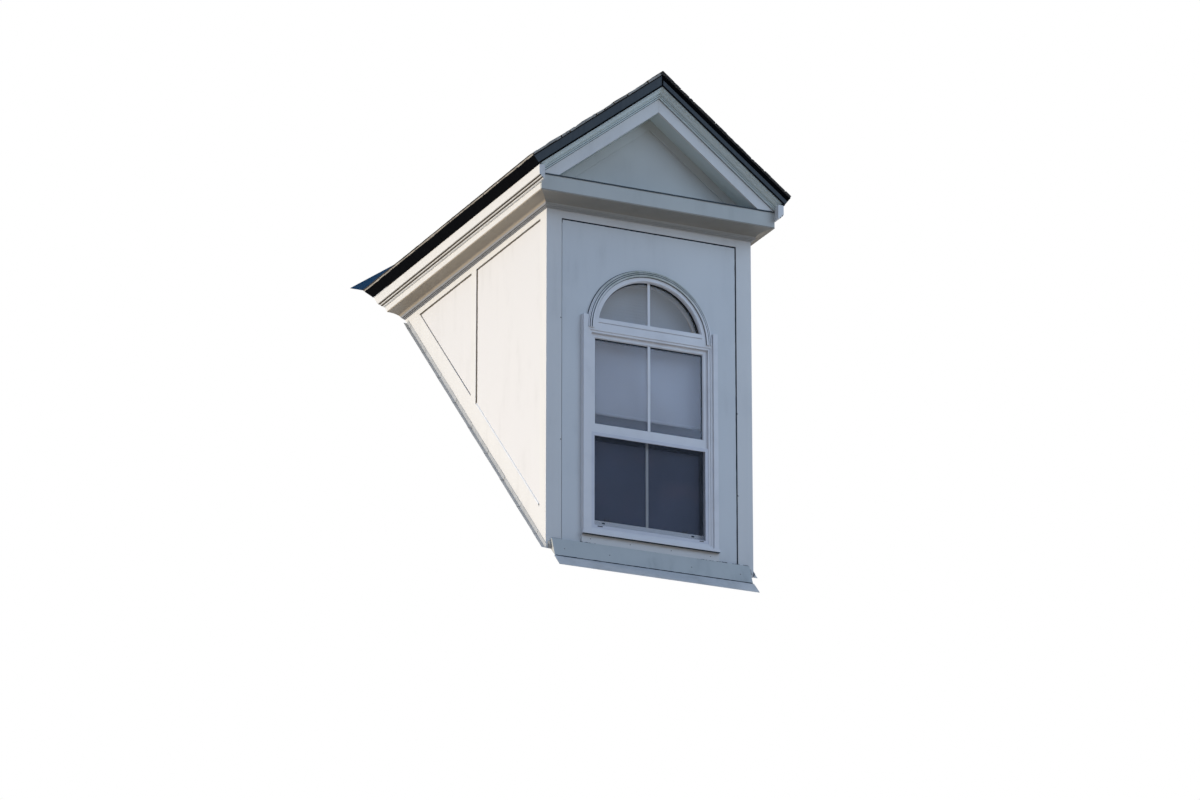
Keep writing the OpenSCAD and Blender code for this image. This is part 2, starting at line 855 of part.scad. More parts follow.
module roof_covering(side) {
    color("dimgray")
    on_side(side) intersection() {
        along_y(-roof_front, roof_back) polygon(slope_band(0, deck_p, slope_len));
        above_plane(0);
    }
}

module ridge_cap() {
    color("dimgray")
    intersection() {
        union() {
            for (side = [-1, 1]) on_side(side)
                along_y(-roof_front, roof_back) polygon(slope_band(-cap_t, 0, cap_w));
        }
        above_plane(0);
    }
}

// Folded metal on the main roof beside each valley
module valley_flashing() {
    tip_y = roof_z(0, eave_x) / tan_p;
    top_y = apex_z / tan_p;
    run = [-eave_x, (top_y - tip_y) / cos_p];
    wide = valley_w / (run[1] / norm(run));
    color("steelblue")
    difference() {
        rotate([roof_pitch, 0, 0]) linear_extrude(flashing_t) difference() {
            polygon([[-eave_x - wide, tip_y / cos_p], [0, top_y / cos_p + wide * run[1] / eave_x],
                     [eave_x + wide, tip_y / cos_p]]);
            polygon([[-eave_x - 1, tip_y / cos_p - run[1] / eave_x], [0, top_y / cos_p],
                     [eave_x + 1, tip_y / cos_p - run[1] / eave_x]]);
        }
        along_y(0, far) {
            polygon(slope_band(-cap_t, deck_p, cap_w));
            mirror([1, 0]) polygon(slope_band(-cap_t, deck_p, cap_w));
        }
    }
}

roof_curb();
front_wall();
cheek_wall(-1);  // cheek_wall_left
cheek_wall(1);  // cheek_wall_right
front_panel();
corner_board(-1);  // corner_board_left
corner_board(1);  // corner_board_right
front_frieze();
cheek_panels(-1);  // cheek_panels_left
cheek_panels(1);  // cheek_panels_right
cheek_boards(-1);  // cheek_boards_left
cheek_boards(1);  // cheek_boards_right
window_frame();
upper_sash();
upper_glass();
lower_sash();
lower_glass();
screen_frame();
screen_mesh();
arch_frame();
arch_glass();
arch_moulding();
casing(-1);  // casing_left
casing(1);  // casing_right
sill_board();
roller_blind();
blind_roller();
arch_shade();
skirt_board();
apron_flashing();
step_flashing(-1);  // step_flashing_left
step_flashing(1);  // step_flashing_right
bed_moulding_front();
bed_moulding_side(-1);  // bed_moulding_left
bed_moulding_side(1);  // bed_moulding_right
base_board_front();
base_board_side(-1);  // base_board_left
base_board_side(1);  // base_board_right
cornice_shelf();
eave_crown(-1);  // eave_crown_left
eave_crown(1);  // eave_crown_right
tympanum();
tympanum_strip();
rake_board(-1);  // rake_board_left
rake_board(1);  // rake_board_right
rake_soffit(-1);  // rake_soffit_left
rake_soffit(1);  // rake_soffit_right
rake_crown(-1);  // rake_crown_left
rake_crown(1);  // rake_crown_right
barge_rafters();
ridge_board();
rafters();
roof_deck(-1);  // roof_deck_left
roof_deck(1);  // roof_deck_right
metal_edge(-1);  // metal_edge_left
metal_edge(1);  // metal_edge_right
roof_covering(-1);  // roof_covering_left
roof_covering(1);  // roof_covering_right
ridge_cap();
valley_flashing();
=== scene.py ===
"""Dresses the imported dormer: shingles, ridge caps, glass, blinds, screen wires, nails and paint."""
import random
from math import asin, copysign, cos, dist, pi, radians, sin, sqrt, tan, tau
from random import uniform

import bmesh
import bpy
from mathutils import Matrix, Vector


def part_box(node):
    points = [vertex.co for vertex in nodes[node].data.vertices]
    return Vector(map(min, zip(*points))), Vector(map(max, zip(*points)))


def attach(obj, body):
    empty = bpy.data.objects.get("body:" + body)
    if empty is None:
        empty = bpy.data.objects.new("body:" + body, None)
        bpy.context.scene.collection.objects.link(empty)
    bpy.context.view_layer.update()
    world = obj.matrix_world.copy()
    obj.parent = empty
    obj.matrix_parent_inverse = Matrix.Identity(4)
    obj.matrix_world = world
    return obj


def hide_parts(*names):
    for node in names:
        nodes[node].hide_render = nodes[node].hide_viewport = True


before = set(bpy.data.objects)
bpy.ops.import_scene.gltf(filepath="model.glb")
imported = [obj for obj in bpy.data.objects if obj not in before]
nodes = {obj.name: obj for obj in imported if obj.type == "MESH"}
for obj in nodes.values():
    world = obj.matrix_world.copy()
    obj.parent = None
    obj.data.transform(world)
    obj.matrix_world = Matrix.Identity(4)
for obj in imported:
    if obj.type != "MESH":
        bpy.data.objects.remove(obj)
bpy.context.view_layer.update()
scene = bpy.context.scene
random.seed(38)

SIDES = ((1, "right"), (-1, "left"))

# Slopes of the dormer's roof and the main roof, and the direction square to the main roof
GABLE = radians(38)
MAIN = radians(45)
COS_G = cos(GABLE)
SIN_G = sin(GABLE)
TAN_G = tan(GABLE)
MAIN_UP = Vector((0, -sin(MAIN), cos(MAIN)))

# Peak, front and length of a slope of the dormer's roof
cover_low, cover_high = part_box("roof_covering_right")
APEX_Z = cover_high.z
FRONT_Y = cover_low.y
SLOPE_LEN = cover_high.x / COS_G

# Thickness of the covering, and how far below its top the metal edges reach
COVER_T = 0.018
EDGE_FOOT = 0.080
# What a course of shingles shows, and the width of one tab with its slot
EXPOSURE = 0.143
TAB_W = 0.305
# Where the cornice's painted shade changes tone, and the top of the lower sash's bottom rail
CORNICE_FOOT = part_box("bed_moulding_front")[0].z + 0.025
SASH_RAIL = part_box("lower_glass")[0].z
# Width of the open joint round each panel
PANEL_GAP = 0.0049
# How far spacers stand out of the glass
SKIN = 0.0008


def put(name, data):
    """Adds an object with this data to the scene."""
    made = bpy.data.objects.new(name, data)
    scene.collection.objects.link(made)
    return made


def add_camera():
    """A long lens below and to the left of the dormer, as in the photograph."""
    azimuth = radians(-25)
    elevation = radians(-19.5)
    distance = 40
    aim = Vector((-0.016, 0.70, 1.289))
    out = Vector((sin(azimuth) * cos(elevation), -cos(azimuth) * cos(elevation), sin(elevation)))
    data = bpy.data.cameras.new("camera")
    data.lens = 189.6
    data.sensor_width = 36
    data.clip_end = 400
    camera = put("camera", data)
    camera.location = aim + out * distance
    camera.rotation_euler = (-out).to_track_quat("-Z", "Y").to_euler()
    scene.camera = camera


add_camera()


# Materials
def linear(colour):
    """Three levels of 0 to 255 made linear, or four linear values as they are."""
    if len(colour) == 4:
        return colour
    return (*(c / 255 / 12.92 if c <= 10 else ((c / 255 + 0.055) / 1.055) ** 2.4 for c in colour), 1)


class Tree:
    """A node tree that is built from short calls."""

    def __init__(self, tree, position):
        self.tree = tree
        self.position = self.node("ShaderNodeTexCoord").outputs[position]

    def node(self, kind, **settings):
        made = self.tree.nodes.new(kind)
        for name, value in settings.items():
            setattr(made, name, value)
        return made

    def link(self, output, target):
        self.tree.links.new(output, target)

    def fill(self, node, **values):
        """Sets sockets by name, with _ for each space."""
        for name, value in values.items():
            node.inputs[name.replace("_", " ")].default_value = value

    def feed(self, sockets, values):
        """Gives each socket its number, its colour or a link from an output."""
        for socket, value in zip(sockets, values):
            if isinstance(value, (int, float)):
                socket.default_value = value
            elif isinstance(value, tuple):
                socket.default_value = linear(value)
            else:
                self.link(value, socket)

    def axis(self, name, source=None):
        made = self.node("ShaderNodeSeparateXYZ")
        self.link(source or self.position, made.inputs[0])
        return made.outputs[name]

    def ramp(self, value, low, high, dark=0, light=1, shape="SMOOTHSTEP"):
        """Takes low to dark and high to light, and stays level past them."""
        made = self.node("ShaderNodeMapRange", interpolation_type=shape)
        self.fill(made, From_Min=low, From_Max=high, To_Min=dark, To_Max=light)
        self.link(value, made.inputs["Value"])
        return made.outputs["Result"]

    def math(self, operation, *values):
        made = self.node("ShaderNodeMath", operation=operation)
        self.feed(made.inputs, values)
        return made.outputs[0]

    def times(self, first, second):
        return self.math("MULTIPLY", first, second)

    def blend(self, factor, first, second):
        """A colour between two colours."""
        made = self.node("ShaderNodeMix", data_type="RGBA")
        self.feed((made.inputs[0], made.inputs[6], made.inputs[7]), (factor, first, second))
        return made.outputs[2]

    def mix(self, *values):
        """A shader between two shaders, after the factor."""
        made = self.node("ShaderNodeMixShader")
        self.feed(made.inputs, values)
        return made.outputs[0]


class Shader(Tree):
    """A material whose colour, roughness and relief come from textures."""

    def __init__(self, colour, roughness, **sockets):
        self.material = bpy.data.materials.new("finish")
        self.material.use_nodes = True
        self.material.diffuse_color = linear(colour)
        super().__init__(self.material.node_tree, "Object")
        self.bsdf = self.tree.nodes["Principled BSDF"]
        self.fill(self.bsdf, Base_Color=linear(colour), Roughness=roughness, **sockets)

    def place(self, made, source, **values):
        """Sets a texture's sockets and gives it positions."""
        self.fill(made, **values)
        self.link(source or self.position, made.inputs["Vector"])
        return made

    def stretch(self, scale, source=None):
        return self.place(self.node("ShaderNodeMapping"), source, Scale=scale).outputs["Vector"]

    def noise(self, scale, detail=3, rough=0.5, source=None):
        made = self.node("ShaderNodeTexNoise")
        return self.place(made, source, Scale=scale, Detail=detail, Roughness=rough).outputs["Fac"]

    def wave(self, direction, source=None, **values):
        made = self.node("ShaderNodeTexWave", wave_type="BANDS", bands_direction=direction)
        return self.place(made, source, **values).outputs["Fac"]

    def cells(self, scale, output="Distance"):
        return self.place(self.node("ShaderNodeTexVoronoi"), None, Scale=scale).outputs[output]

    def colour(self, output):
        self.link(output, self.bsdf.inputs["Base Color"])

    def roughness(self, output):
        self.link(output, self.bsdf.inputs["Roughness"])

    def bump(self, height, strength, distance):
        made = self.node("ShaderNodeBump")
        self.fill(made, Strength=strength, Distance=distance)
        self.link(height, made.inputs["Height"])
        self.link(made.outputs["Normal"], self.bsdf.inputs["Normal"])


def paint(colour, dirt, dirt_share, roughness, brushed=0.1, foot=None):
    """Brushed outdoor paint with streaks and dirt; a foot colour, another tone of painted shade, covers the
    cornice's lowest steps.
    """
    s = Shader(colour, roughness)
    streaks = s.noise(1, 4, 0.6, s.stretch((11, 11, 1.6)))
    clouds = s.noise(2.3, 5, 0.6)
    specks = s.ramp(s.noise(160, 2), 0.68, 0.8, 0, dirt_share * 0.35)
    both = s.times(s.ramp(streaks, 0.42, 0.78), s.ramp(clouds, 0.38, 0.75))
    body = s.blend(s.math("MULTIPLY_ADD", both, dirt_share, specks), colour, dirt)
    if foot:
        body = s.blend(s.ramp(s.axis("Z"), CORNICE_FOOT, CORNICE_FOOT + 0.004, 1, 0), body, foot)
    s.colour(body)
    s.roughness(s.ramp(clouds, 0.3, 0.8, roughness - 0.08, roughness + 0.14))
    brush = s.noise(1, 3, 0.55, s.stretch((240, 240, 14)))
    s.bump(s.math("MULTIPLY_ADD", clouds, 0.8, brush), brushed, 0.0005)
    return s


def vinyl(colour, dirt, bar=None):
    """Window vinyl with a film of dust; a bar colour covers the glazing bar above the sash's rail."""
    s = Shader(colour, 0.34)
    film = s.noise(6, 4, 0.6)
    grain = s.noise(420, 2)
    body = s.blend(s.ramp(film, 0.4, 0.8, 0, 0.22), colour, dirt)
    if bar:
        half = 0.0092
        middle = s.ramp(s.math("ABSOLUTE", s.axis("X")), half, half + 0.0004, 1, 0)
        above = s.ramp(s.axis("Z"), SASH_RAIL, SASH_RAIL + 0.001)
        body = s.blend(s.times(middle, above), body, bar)
    s.colour(body)
    s.roughness(s.ramp(film, 0.3, 0.8, 0.3, 0.46))
    s.bump(s.math("MULTIPLY_ADD", film, 2, grain), 0.08, 0.0004)
    return s


def aged_vinyl(colour, grime, clean_z, grimy_z):
    """Window vinyl that has gathered green grime towards its top."""
    s = Shader(colour, 0.4)
    cloud = s.noise(16, 4, 0.6)
    height = s.ramp(s.axis("Z"), clean_z, grimy_z)
    s.colour(s.blend(s.times(height, s.ramp(cloud, 0.25, 0.7, 0.5, 1)), colour, grime))
    s.bump(cloud, 0.1, 0.0004)
    return s


def timber(light, dark, along):
    """Sawn softwood with grain along X, Y or down the roof's slope."""
    s = Shader(light, 0.72)
    fine, coarse = 34, 2
    x, y, z = (s.axis(a) for a in "XYZ")
    scale = tuple(coarse if a == along else fine for a in "XYZ")
    if along == "slope":
        out = s.math("ABSOLUTE", x)
        run = s.math("SUBTRACT", s.times(out, COS_G), s.times(z, SIN_G))
        across = s.math("ADD", s.times(out, SIN_G), s.times(z, COS_G))
        x, z = run, across
        scale = (coarse, fine, fine)
    joined = s.node("ShaderNodeCombineXYZ")
    s.feed(joined.inputs, (x, y, z))
    where = joined.outputs[0]
    grain = s.noise(1, 5, 0.62, s.stretch(scale, where))
    rings = s.wave("DIAGONAL", s.stretch(tuple(v * 0.5 for v in scale), where),
                   Scale=0.55, Distortion=7, Detail=3)
    both = s.math("MULTIPLY_ADD", rings, 0.45, s.times(grain, 0.6))
    s.colour(s.blend(s.ramp(both, 0.25, 0.8), light, dark))
    s.roughness(s.ramp(grain, 0.3, 0.8, 0.62, 0.85))
    s.bump(both, 0.35, 0.001)
    return s


def sheathing():
    """Plywood sheets with level seams and patchy veneer."""
    light = (206, 178, 138)
    sheet_h = 1.22
    s = Shader(light, 0.75)
    grain = s.noise(1, 5, 0.65, s.stretch((18, 18, 1.8)))
    face = s.blend(s.ramp(grain, 0.35, 0.75), light, (158, 124, 84))
    face = s.blend(s.ramp(s.noise(1.7), 0.4, 0.7, 0, 0.35), face, (186, 150, 106))
    height = s.math("FRACT", s.times(s.axis("Z"), 1 / sheet_h))
    line = s.ramp(s.math("ABSOLUTE", s.math("SUBTRACT", height, 0.5)), 0.002, 0.004, 1, 0)
    s.colour(s.blend(line, face, (60, 46, 32)))
    s.bump(s.math("SUBTRACT", grain, line), 0.3, 0.0012)
    return s


def coated(colour, worn, roughness, scuff, shine, metallic=0):
    """Sheet metal, granules, joints, and strips of painted shade and painted highlight, with water marks
    and small scuffs.
    """
    s = Shader(colour, roughness, Metallic=metallic, Specular_IOR_Level=shine)
    marks = s.noise(9, 5, 0.65)
    runs = s.noise(1, 4, 0.6, s.stretch((60, 60, 5)))
    scuffs = s.ramp(s.noise(70, 3, 0.7), 0.6, 0.74)
    share = s.math("ADD", s.times(s.ramp(marks, 0.4, 0.8), scuff),
                   s.times(scuffs, scuff * 0.5))
    s.colour(s.blend(share, colour, worn))
    s.roughness(s.ramp(runs, 0.3, 0.8, roughness - 0.1, roughness + 0.15))
    s.bump(s.math("MULTIPLY_ADD", runs, 0.5, marks), 0.2, 0.001)
    return s


def shingle():
    """Asphalt granules in dark olive and charcoal, each tab of its own shade."""
    s = Shader((63, 61, 56), 0.9, Specular_IOR_Level=0.3)
    tone = s.node("ShaderNodeAttribute", attribute_name="tone").outputs["Fac"]
    fleck = s.axis("X", s.cells(420, "Color"))
    body = s.blend(tone, (52, 51, 49), (74, 71, 65))
    body = s.blend(s.ramp(fleck, 0.55, 1, 0, 0.55), body, (112, 106, 96))
    body = s.blend(s.ramp(fleck, 0, 0.35, 0.6, 0), body, (28, 29, 32))
    stains = s.noise(3.5, 5, 0.6)
    s.colour(s.blend(s.ramp(stains, 0.52, 0.8, 0, 0.45), body, (70, 74, 58)))
    s.bump(s.math("MULTIPLY_ADD", s.noise(60), 1.2, s.cells(420)), 0.5, 0.0012)
    return s


def felt():
    """The black mat under the shingles, with pale granules along its edges."""
    base = (40, 39, 38)
    s = Shader(base, 0.9)
    specks = s.noise(150, 3, 0.6)
    layers = s.noise(1, 2, 0.5, s.stretch((3, 3, 260)))
    body = s.blend(s.ramp(specks, 0.56, 0.7, 0, 0.7), base, (150, 138, 118))
    s.colour(s.blend(s.ramp(layers, 0.45, 0.6), body, (24, 24, 26)))
    s.bump(s.math("ADD", specks, layers), 0.5, 0.001)
    return s


def glazing(colour, alpha, reflection_clouds=0.35, reflection_patch=None):
    """A thin tinted film over what is behind it, with a cool reflection and paler clouds of painted
    reflection.
    """
    smooth = 0.03
    s = Shader(colour, smooth, Alpha=alpha, IOR=1.5, Specular_IOR_Level=0.4,
               Specular_Tint=(0.6, 0.74, 1, 1))
    film = s.noise(3, 4, 0.6)
    s.roughness(s.ramp(film, 0.3, 0.8, smooth, smooth + 0.05))
    # Painted reflection: paler clouds, and patches of a given colour, over the film's tint
    pale = (*(c * 1.7 for c in linear(colour)[:3]), 1)
    body = s.blend(s.ramp(film, 0.35, 0.7, 0, reflection_clouds), colour, pale)
    if reflection_patch:
        body = s.blend(s.ramp(s.noise(5, 2), 0.48, 0.68, 0, 0.8), body, reflection_patch)
    s.colour(body)
    return s


def fabric(colour, shade):
    """Plain woven blind cloth."""
    s = Shader(colour, 0.85, Sheen_Weight=0.15)
    weave = s.times(s.wave("X", Scale=260), s.wave("Z", Scale=260))
    uneven = s.ramp(s.noise(4, 4, 0.6), 0.35, 0.75, 0, 0.3)
    s.colour(s.blend(s.math("MULTIPLY_ADD", weave, 0.1, uneven), colour, shade))
    s.bump(weave, 0.25, 0.0004)
    return s


DIRT = (122, 124, 120)
DUST = (172, 173, 178)
VINYL = (220, 220, 222)
shaders = {
    "panel": paint((206, 209, 210), DIRT, 0.2, 0.5),
    "cheek": paint((210, 210, 210), DIRT, 0.2, 0.5),
    "trim": paint((212, 212, 210), DIRT, 0.2, 0.5, 0.04),
    # Painted shade: the pediment's paint is greyer than the trim for the weaker light on it
    "pediment": paint((181, 184, 180), DIRT, 0.25, 0.55, 0.03),
    "crown": paint((196, 206, 204), (140, 148, 142), 0.25, 0.55, 0.03),
    # Painted shade: the eaves' coves are brown-grey for the shade under the eaves, cooler on their lowest
    # steps
    "cove": paint((150, 140, 124), (104, 94, 80), 0.4, 0.6, 0.04, (129, 132, 137)),
    # Painted shade: the front cornice is dark for the shade under the cornice, lighter on its lowest steps
    "cornice": paint((136, 133, 125), (104, 100, 90), 0.3, 0.6, 0.04, (160, 160, 158)),
    "skirt": paint((172, 176, 174), (96, 102, 106), 0.45, 0.5),
    "vinyl": vinyl(VINYL, DUST),
    "bar_vinyl": vinyl(VINYL, DUST, (172, 174, 176)),
    "arch_vinyl": aged_vinyl(VINYL, (146, 153, 138), 1.56, 1.93),
    "screen": vinyl((205, 206, 213), (146, 147, 152)),
    "sealant": vinyl((214, 218, 222), (176, 180, 184)),
    "framing": sheathing(),
    "timber_y": timber((205, 172, 126), (160, 118, 74), "Y"),
    "timber_slope": timber((202, 168, 122), (156, 114, 72), "slope"),
    "primed": timber((168, 168, 164), (152, 151, 146), "X"),
    "dark_metal": coated((68, 75, 80), (88, 93, 96), 0.6, 0.3, 0.12),
    "black_metal": coated((7, 8, 11), (18, 20, 24), 0.7, 0.2, 0.01),
    "flashing": coated((177, 180, 182), (118, 120, 120), 0.55, 0.4, 0.3, 0.2),
    "valley": coated((14, 66, 96), (26, 48, 72), 0.6, 0.5, 0.03),
    "wire": coated((116, 122, 134), (92, 98, 108), 0.6, 0.3, 0.2),
    "nail": coated((98, 98, 100), (70, 62, 56), 0.5, 0.3, 0.5, 0.5),
    "roller": coated((176, 180, 186), (120, 124, 130), 0.35, 0.3, 0.5, 0.6),
    "granule_highlight": coated((172, 167, 158), (96, 90, 84), 0.9, 0.8, 0.1),
    "joint": coated((88, 82, 72), (66, 62, 56), 0.85, 0.5, 0.1),
    "seam_shade_line": coated((66, 75, 84), (54, 62, 64), 0.7, 0.6, 0.1),
    "spacer_and_shade": coated((14, 20, 28), (26, 32, 38), 0.6, 0.4, 0.1),
    "slot_and_shade": coated((48, 52, 60), (30, 32, 36), 0.8, 0.4, 0.1),
    "upper_glass": glazing((172, 176, 182), 0.25),
    "lower_glass": glazing((78, 86, 106), 0.38, 0.6, (112, 102, 118)),
    "arch_glass": glazing((148, 144, 128), 0.24),
    "blind": fabric((238, 236, 240), (206, 206, 216)),
    # Painted shade: a dark cloth inside the window stands in for the unlit room behind it
    "painted_shade_fabric": fabric((122, 124, 142), (84, 86, 104)),
    "shingle": shingle(),
    "felt": felt(),
}
for key, shader in shaders.items():
    shader.material.name = key


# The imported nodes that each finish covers, where a last _ stands for a left and a right node
FINISH = {
    "framing": "front_wall cheek_wall_ roof_deck_",
    "timber_y": "ridge_board",
    "primed": "roof_curb",
    "timber_slope": "rafters barge_rafters",
    "panel": "front_panel",
    "cheek": "cheek_panels_",
    "trim": "corner_board_ cheek_boards_ sill_board front_frieze base_board_ eave_crown_ cornice_shelf "
            "rake_board_",
    "pediment": "base_board_front tympanum tympanum_strip",
    "crown": "rake_crown_ rake_soffit_",
    "cove": "bed_moulding_",
    "cornice": "bed_moulding_front",
    "vinyl": "window_frame upper_sash arch_frame casing_",
    "bar_vinyl": "lower_sash",
    "arch_vinyl": "arch_moulding",
    "screen": "screen_frame",
    "skirt": "skirt_board",
    "flashing": "apron_flashing step_flashing_",
    "valley": "valley_flashing",
    "dark_metal": "metal_edge_",
    "upper_glass": "upper_glass",
    "lower_glass": "lower_glass",
    "arch_glass": "arch_glass",
    "roller": "blind_roller",
    "shingle": "roof_covering_ ridge_cap",
    "wire": "screen_mesh",
    "blind": "roller_blind arch_shade",
}
# The finishes whose edges are worn soft, apart from the crowns
SOFT = "trim pediment crown panel cheek vinyl bar_vinyl arch_vinyl screen skirt".split()


def both_sides(words):
    """The node names in a line of words."""
    for word in words.split():
        yield from (word + "left", word + "right") if word[-1] == "_" else (word,)


def dress_nodes():
    """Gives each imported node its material, and a small bevel to the boards and the window."""
    for key, words in FINISH.items():
        for name in both_sides(words):
            data = nodes[name].data
            data.materials.clear()
            data.materials.append(shaders[key].material)
            data.polygons.foreach_set("material_index", [0] * len(data.polygons))
            if key in SOFT and "crown" not in name:
                weld = nodes[name].modifiers.new("weld", "WELD")
                weld.merge_threshold = 0.00002
                bevel = nodes[name].modifiers.new("bevel", "BEVEL")
                bevel.width = 0.0012
                bevel.segments = 2
                bevel.limit_method = "ANGLE"
                bevel.angle_limit = radians(35)


dress_nodes()


# Building pieces
def cut_at_main_roof(mesh):
    """Cuts away what is below the main roof, and closes the cuts."""
    cut = bmesh.ops.bisect_plane(
        mesh, geom=mesh.verts[:] + mesh.edges[:] + mesh.faces[:], dist=1e-6,
        plane_co=(0, 0, 0), plane_no=MAIN_UP, clear_inner=True)
    edges = [g for g in cut["geom_cut"] if isinstance(g, bmesh.types.BMEdge) and g.is_boundary]
    bmesh.ops.edgeloop_fill(mesh, edges=edges)
    bmesh.ops.recalc_face_normals(mesh, faces=mesh.faces)


class Parts:
    """Gathers many small shapes into one mesh, with a tone for each face."""

    def __init__(self):
        self.verts = []
        self.faces = []
        self.tones = []

    def grid(self, rows, tone=0.5, closed=False):
        """Adds a surface through rows of points of equal length."""
        start = len(self.verts)
        count = len(rows[0])
        for row in rows:
            self.verts.extend(row)
        for i in range(len(rows) - 1):
            for j in range(count if closed else count - 1):
                k = (j + 1) % count
                a = start + i * count
                b = a + count
                self.faces.append((a + j, a + k, b + k, b + j))
                self.tones.append(tone)
        return start

    def ring_solid(self, rings, tone=0.5):
        """Adds a closed solid through rings of points."""
        start = self.grid(rings, tone, closed=True)
        count = len(rings[0])
        last = start + (len(rings) - 1) * count
        self.faces.append(tuple(reversed(range(start, start + count))))
        self.faces.append(tuple(range(last, last + count)))
        self.tones.extend((tone, tone))

    def box(self, low, high):
        """Adds a block between two corners."""
        (x0, y0, z0), (x1, y1, z1) = low, high
        self.ring_solid([[Vector(p) for p in ((x0, y0, z), (x1, y0, z), (x1, y1, z), (x0, y1, z))]
                         for z in (z0, z1)])

    def side_box(self, side, low, high):
        """Adds a block given for the right side, or its mirror image on the left."""
        x0, x1 = sorted((side * low[0], side * high[0]))
        self.box((x0, *low[1:]), (x1, *high[1:]))

    def piece(self, name, key, smooth=False, cut=False):
        """Makes one mesh of the shapes, with one material, riding on the body."""
        data = bpy.data.meshes.new(name)
        data.from_pydata([tuple(v) for v in self.verts], [], self.faces)
        data.materials.append(shaders[key].material)
        layer = data.attributes.new("tone", "FLOAT", "FACE")
        layer.data.foreach_set("value", self.tones)
        if smooth:
            data.shade_smooth()
        mesh = bmesh.new()
        mesh.from_mesh(data)
        bmesh.ops.recalc_face_normals(mesh, faces=mesh.faces)
        if cut:
            cut_at_main_roof(mesh)
        mesh.to_mesh(data)
        mesh.free()
        made = put(name, data)
        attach(made, "root")
        return made


def slope_point(side, depth, run, y):
    """A point on one slope, at a depth below the covering's top and a run down from the ridge."""
    return Vector((side * (run * COS_G - depth * SIN_G), y, APEX_Z - run * SIN_G - depth * COS_G))


def along_eave(side, corners, stations):
    """A ring of points at each y, from corners given as depth and run."""
    return [[slope_point(side, depth, run, y) for depth, run in corners] for y in stations]


def along_rake(side, corners, stations):
    """A ring of points at each run, from corners given as depth and y."""
    return [[slope_point(side, depth, run, y) for depth, y in corners] for run in stations]


def ellipse(wide, tall, count):
    """Points round an ellipse, from the half widths."""
    return [(wide * cos(a), tall * sin(a)) for a in spaced(0, tau, count)[:-1]]


def between(a, b, count):
    """Evenly spaced points from a to b."""
    a, b = Vector(a), Vector(b)
    return [a.lerp(b, i / count) for i in range(count + 1)]


def spaced(start, end, count):
    """Evenly spaced numbers from start to end."""
    return [start + (end - start) * i / count for i in range(count + 1)]


def random_tone(spread):
    """A shingle's shade from 0 to 1, about a middle one."""
    return min(1.0, max(0.0, random.gauss(0.45, spread)))


# Roof
def shingle_tab(parts, side, y0, y1, butt, head, lift, tone):
    """One tab: a slightly uneven wedge that is thickest at its butt."""
    thick = 0.0042
    sunk = 0.0056
    rings = []
    for y in spaced(y0, y1, 6):
        high = lift + uniform(-0.0007, 0.0007)
        edge = butt + uniform(-0.0015, 0.0015)
        corners = ((-high, edge), (0.0026, (edge + head) / 2), (sunk, head), (sunk + thick, head),
                   (thick - high, edge - 0.001))
        rings += along_eave(side, corners, (y,))
    parts.ring_solid(rings, tone)


def shingle_roof(side, word):
    """Courses of tabs, cut to the main roof."""
    parts = Parts()
    lap = 0.05
    slot_and_shade = 0.006
    narrow = 0.02
    shortest = 0.03
    ridge_gap = 0.012
    stagger = 0.06
    for course in range(int((SLOPE_LEN - shortest) / EXPOSURE) + 1):
        butt = SLOPE_LEN - course * EXPOSURE
        head = max(butt - EXPOSURE - lap, ridge_gap)
        if butt - head < shortest:
            continue
        y = FRONT_Y - TAB_W * (0.5 if course % 2 else 0) + uniform(0, stagger)
        # A little past the main roof, which then cuts the course
        back = APEX_Z + 0.05 - (butt - 0.2) * SIN_G
        while y < back:
            start = max(y, FRONT_Y + uniform(0, 0.004))
            end = y + TAB_W - slot_and_shade
            if end - start > narrow:
                lift = uniform(0, 0.0009)
                shingle_tab(parts, side, start, end, butt, head, lift, random_tone(0.24))
            y += TAB_W
    made = parts.piece("shingles_" + word, "shingle", cut=True)
    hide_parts("roof_covering_" + word)


def roof_mat(side, word):
    """The layers under the exposed tabs, seen at the rake and in the slots."""
    parts = Parts()
    rings = []
    for y in spaced(FRONT_Y + 0.003, APEX_Z + 0.023, 40):
        low = SLOPE_LEN - 0.002 + uniform(-0.001, 0.001)
        corners = ((0.0068, 0.006), (0.0052, low), (COVER_T, low), (COVER_T, 0.014))
        rings += along_eave(side, corners, (y,))
    parts.ring_solid(rings)
    parts.piece("shingle_mat_" + word, "felt", cut=True)


def cap_section(y, high, width, thick, worn=0.006):
    """The outline of a bent cap shingle across the ridge, worn at its bend."""
    bend = 0.03
    right = (0.05, 0.12, 0.25, 0.5, 0.75, 1)
    shares = [-s for s in right[::-1]] + [0, *right]
    outline = []
    for under, row in ((0, shares), (thick, shares[::-1])):
        for share in row:
            run = abs(share) * width
            depth = under - high + worn * max(0, 1 - run / bend) ** 2
            if run:
                outline.append(slope_point(copysign(1, share), depth, run, y))
            else:
                outline.append(Vector((0, y, APEX_Z - depth / COS_G)))
    return outline


def ridge_caps():
    """Cap shingles that overlap back to the main roof, over one flat shingle in front."""
    parts = Parts()
    length = EXPOSURE + 0.04
    arm = 0.14
    first = FRONT_Y + 0.24
    parts.ring_solid([cap_section(y, 0.001, 0.1, 0.003, 0)
                      for y in (FRONT_Y + 0.001, FRONT_Y + 0.1, first + 0.05)], 0.3)
    y = first
    while y < APEX_Z + 0.02:
        tone = random_tone(0.2)
        lift = uniform(0, 0.0015)
        width = arm + uniform(-0.002, 0.002)
        parts.ring_solid([cap_section(y, 0.0105 + lift, width, 0.0048),
                          cap_section(y + length * 0.5, 0.0075 + lift * 0.5, width, 0.0048),
                          cap_section(y + length, 0.0048, width, 0.0045)], tone)
        y += EXPOSURE
    made = parts.piece("ridge_cap_shingles", "shingle", cut=True)
    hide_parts("ridge_cap")


for side, word in SIDES:
    shingle_roof(side, word)
    roof_mat(side, word)
ridge_caps()


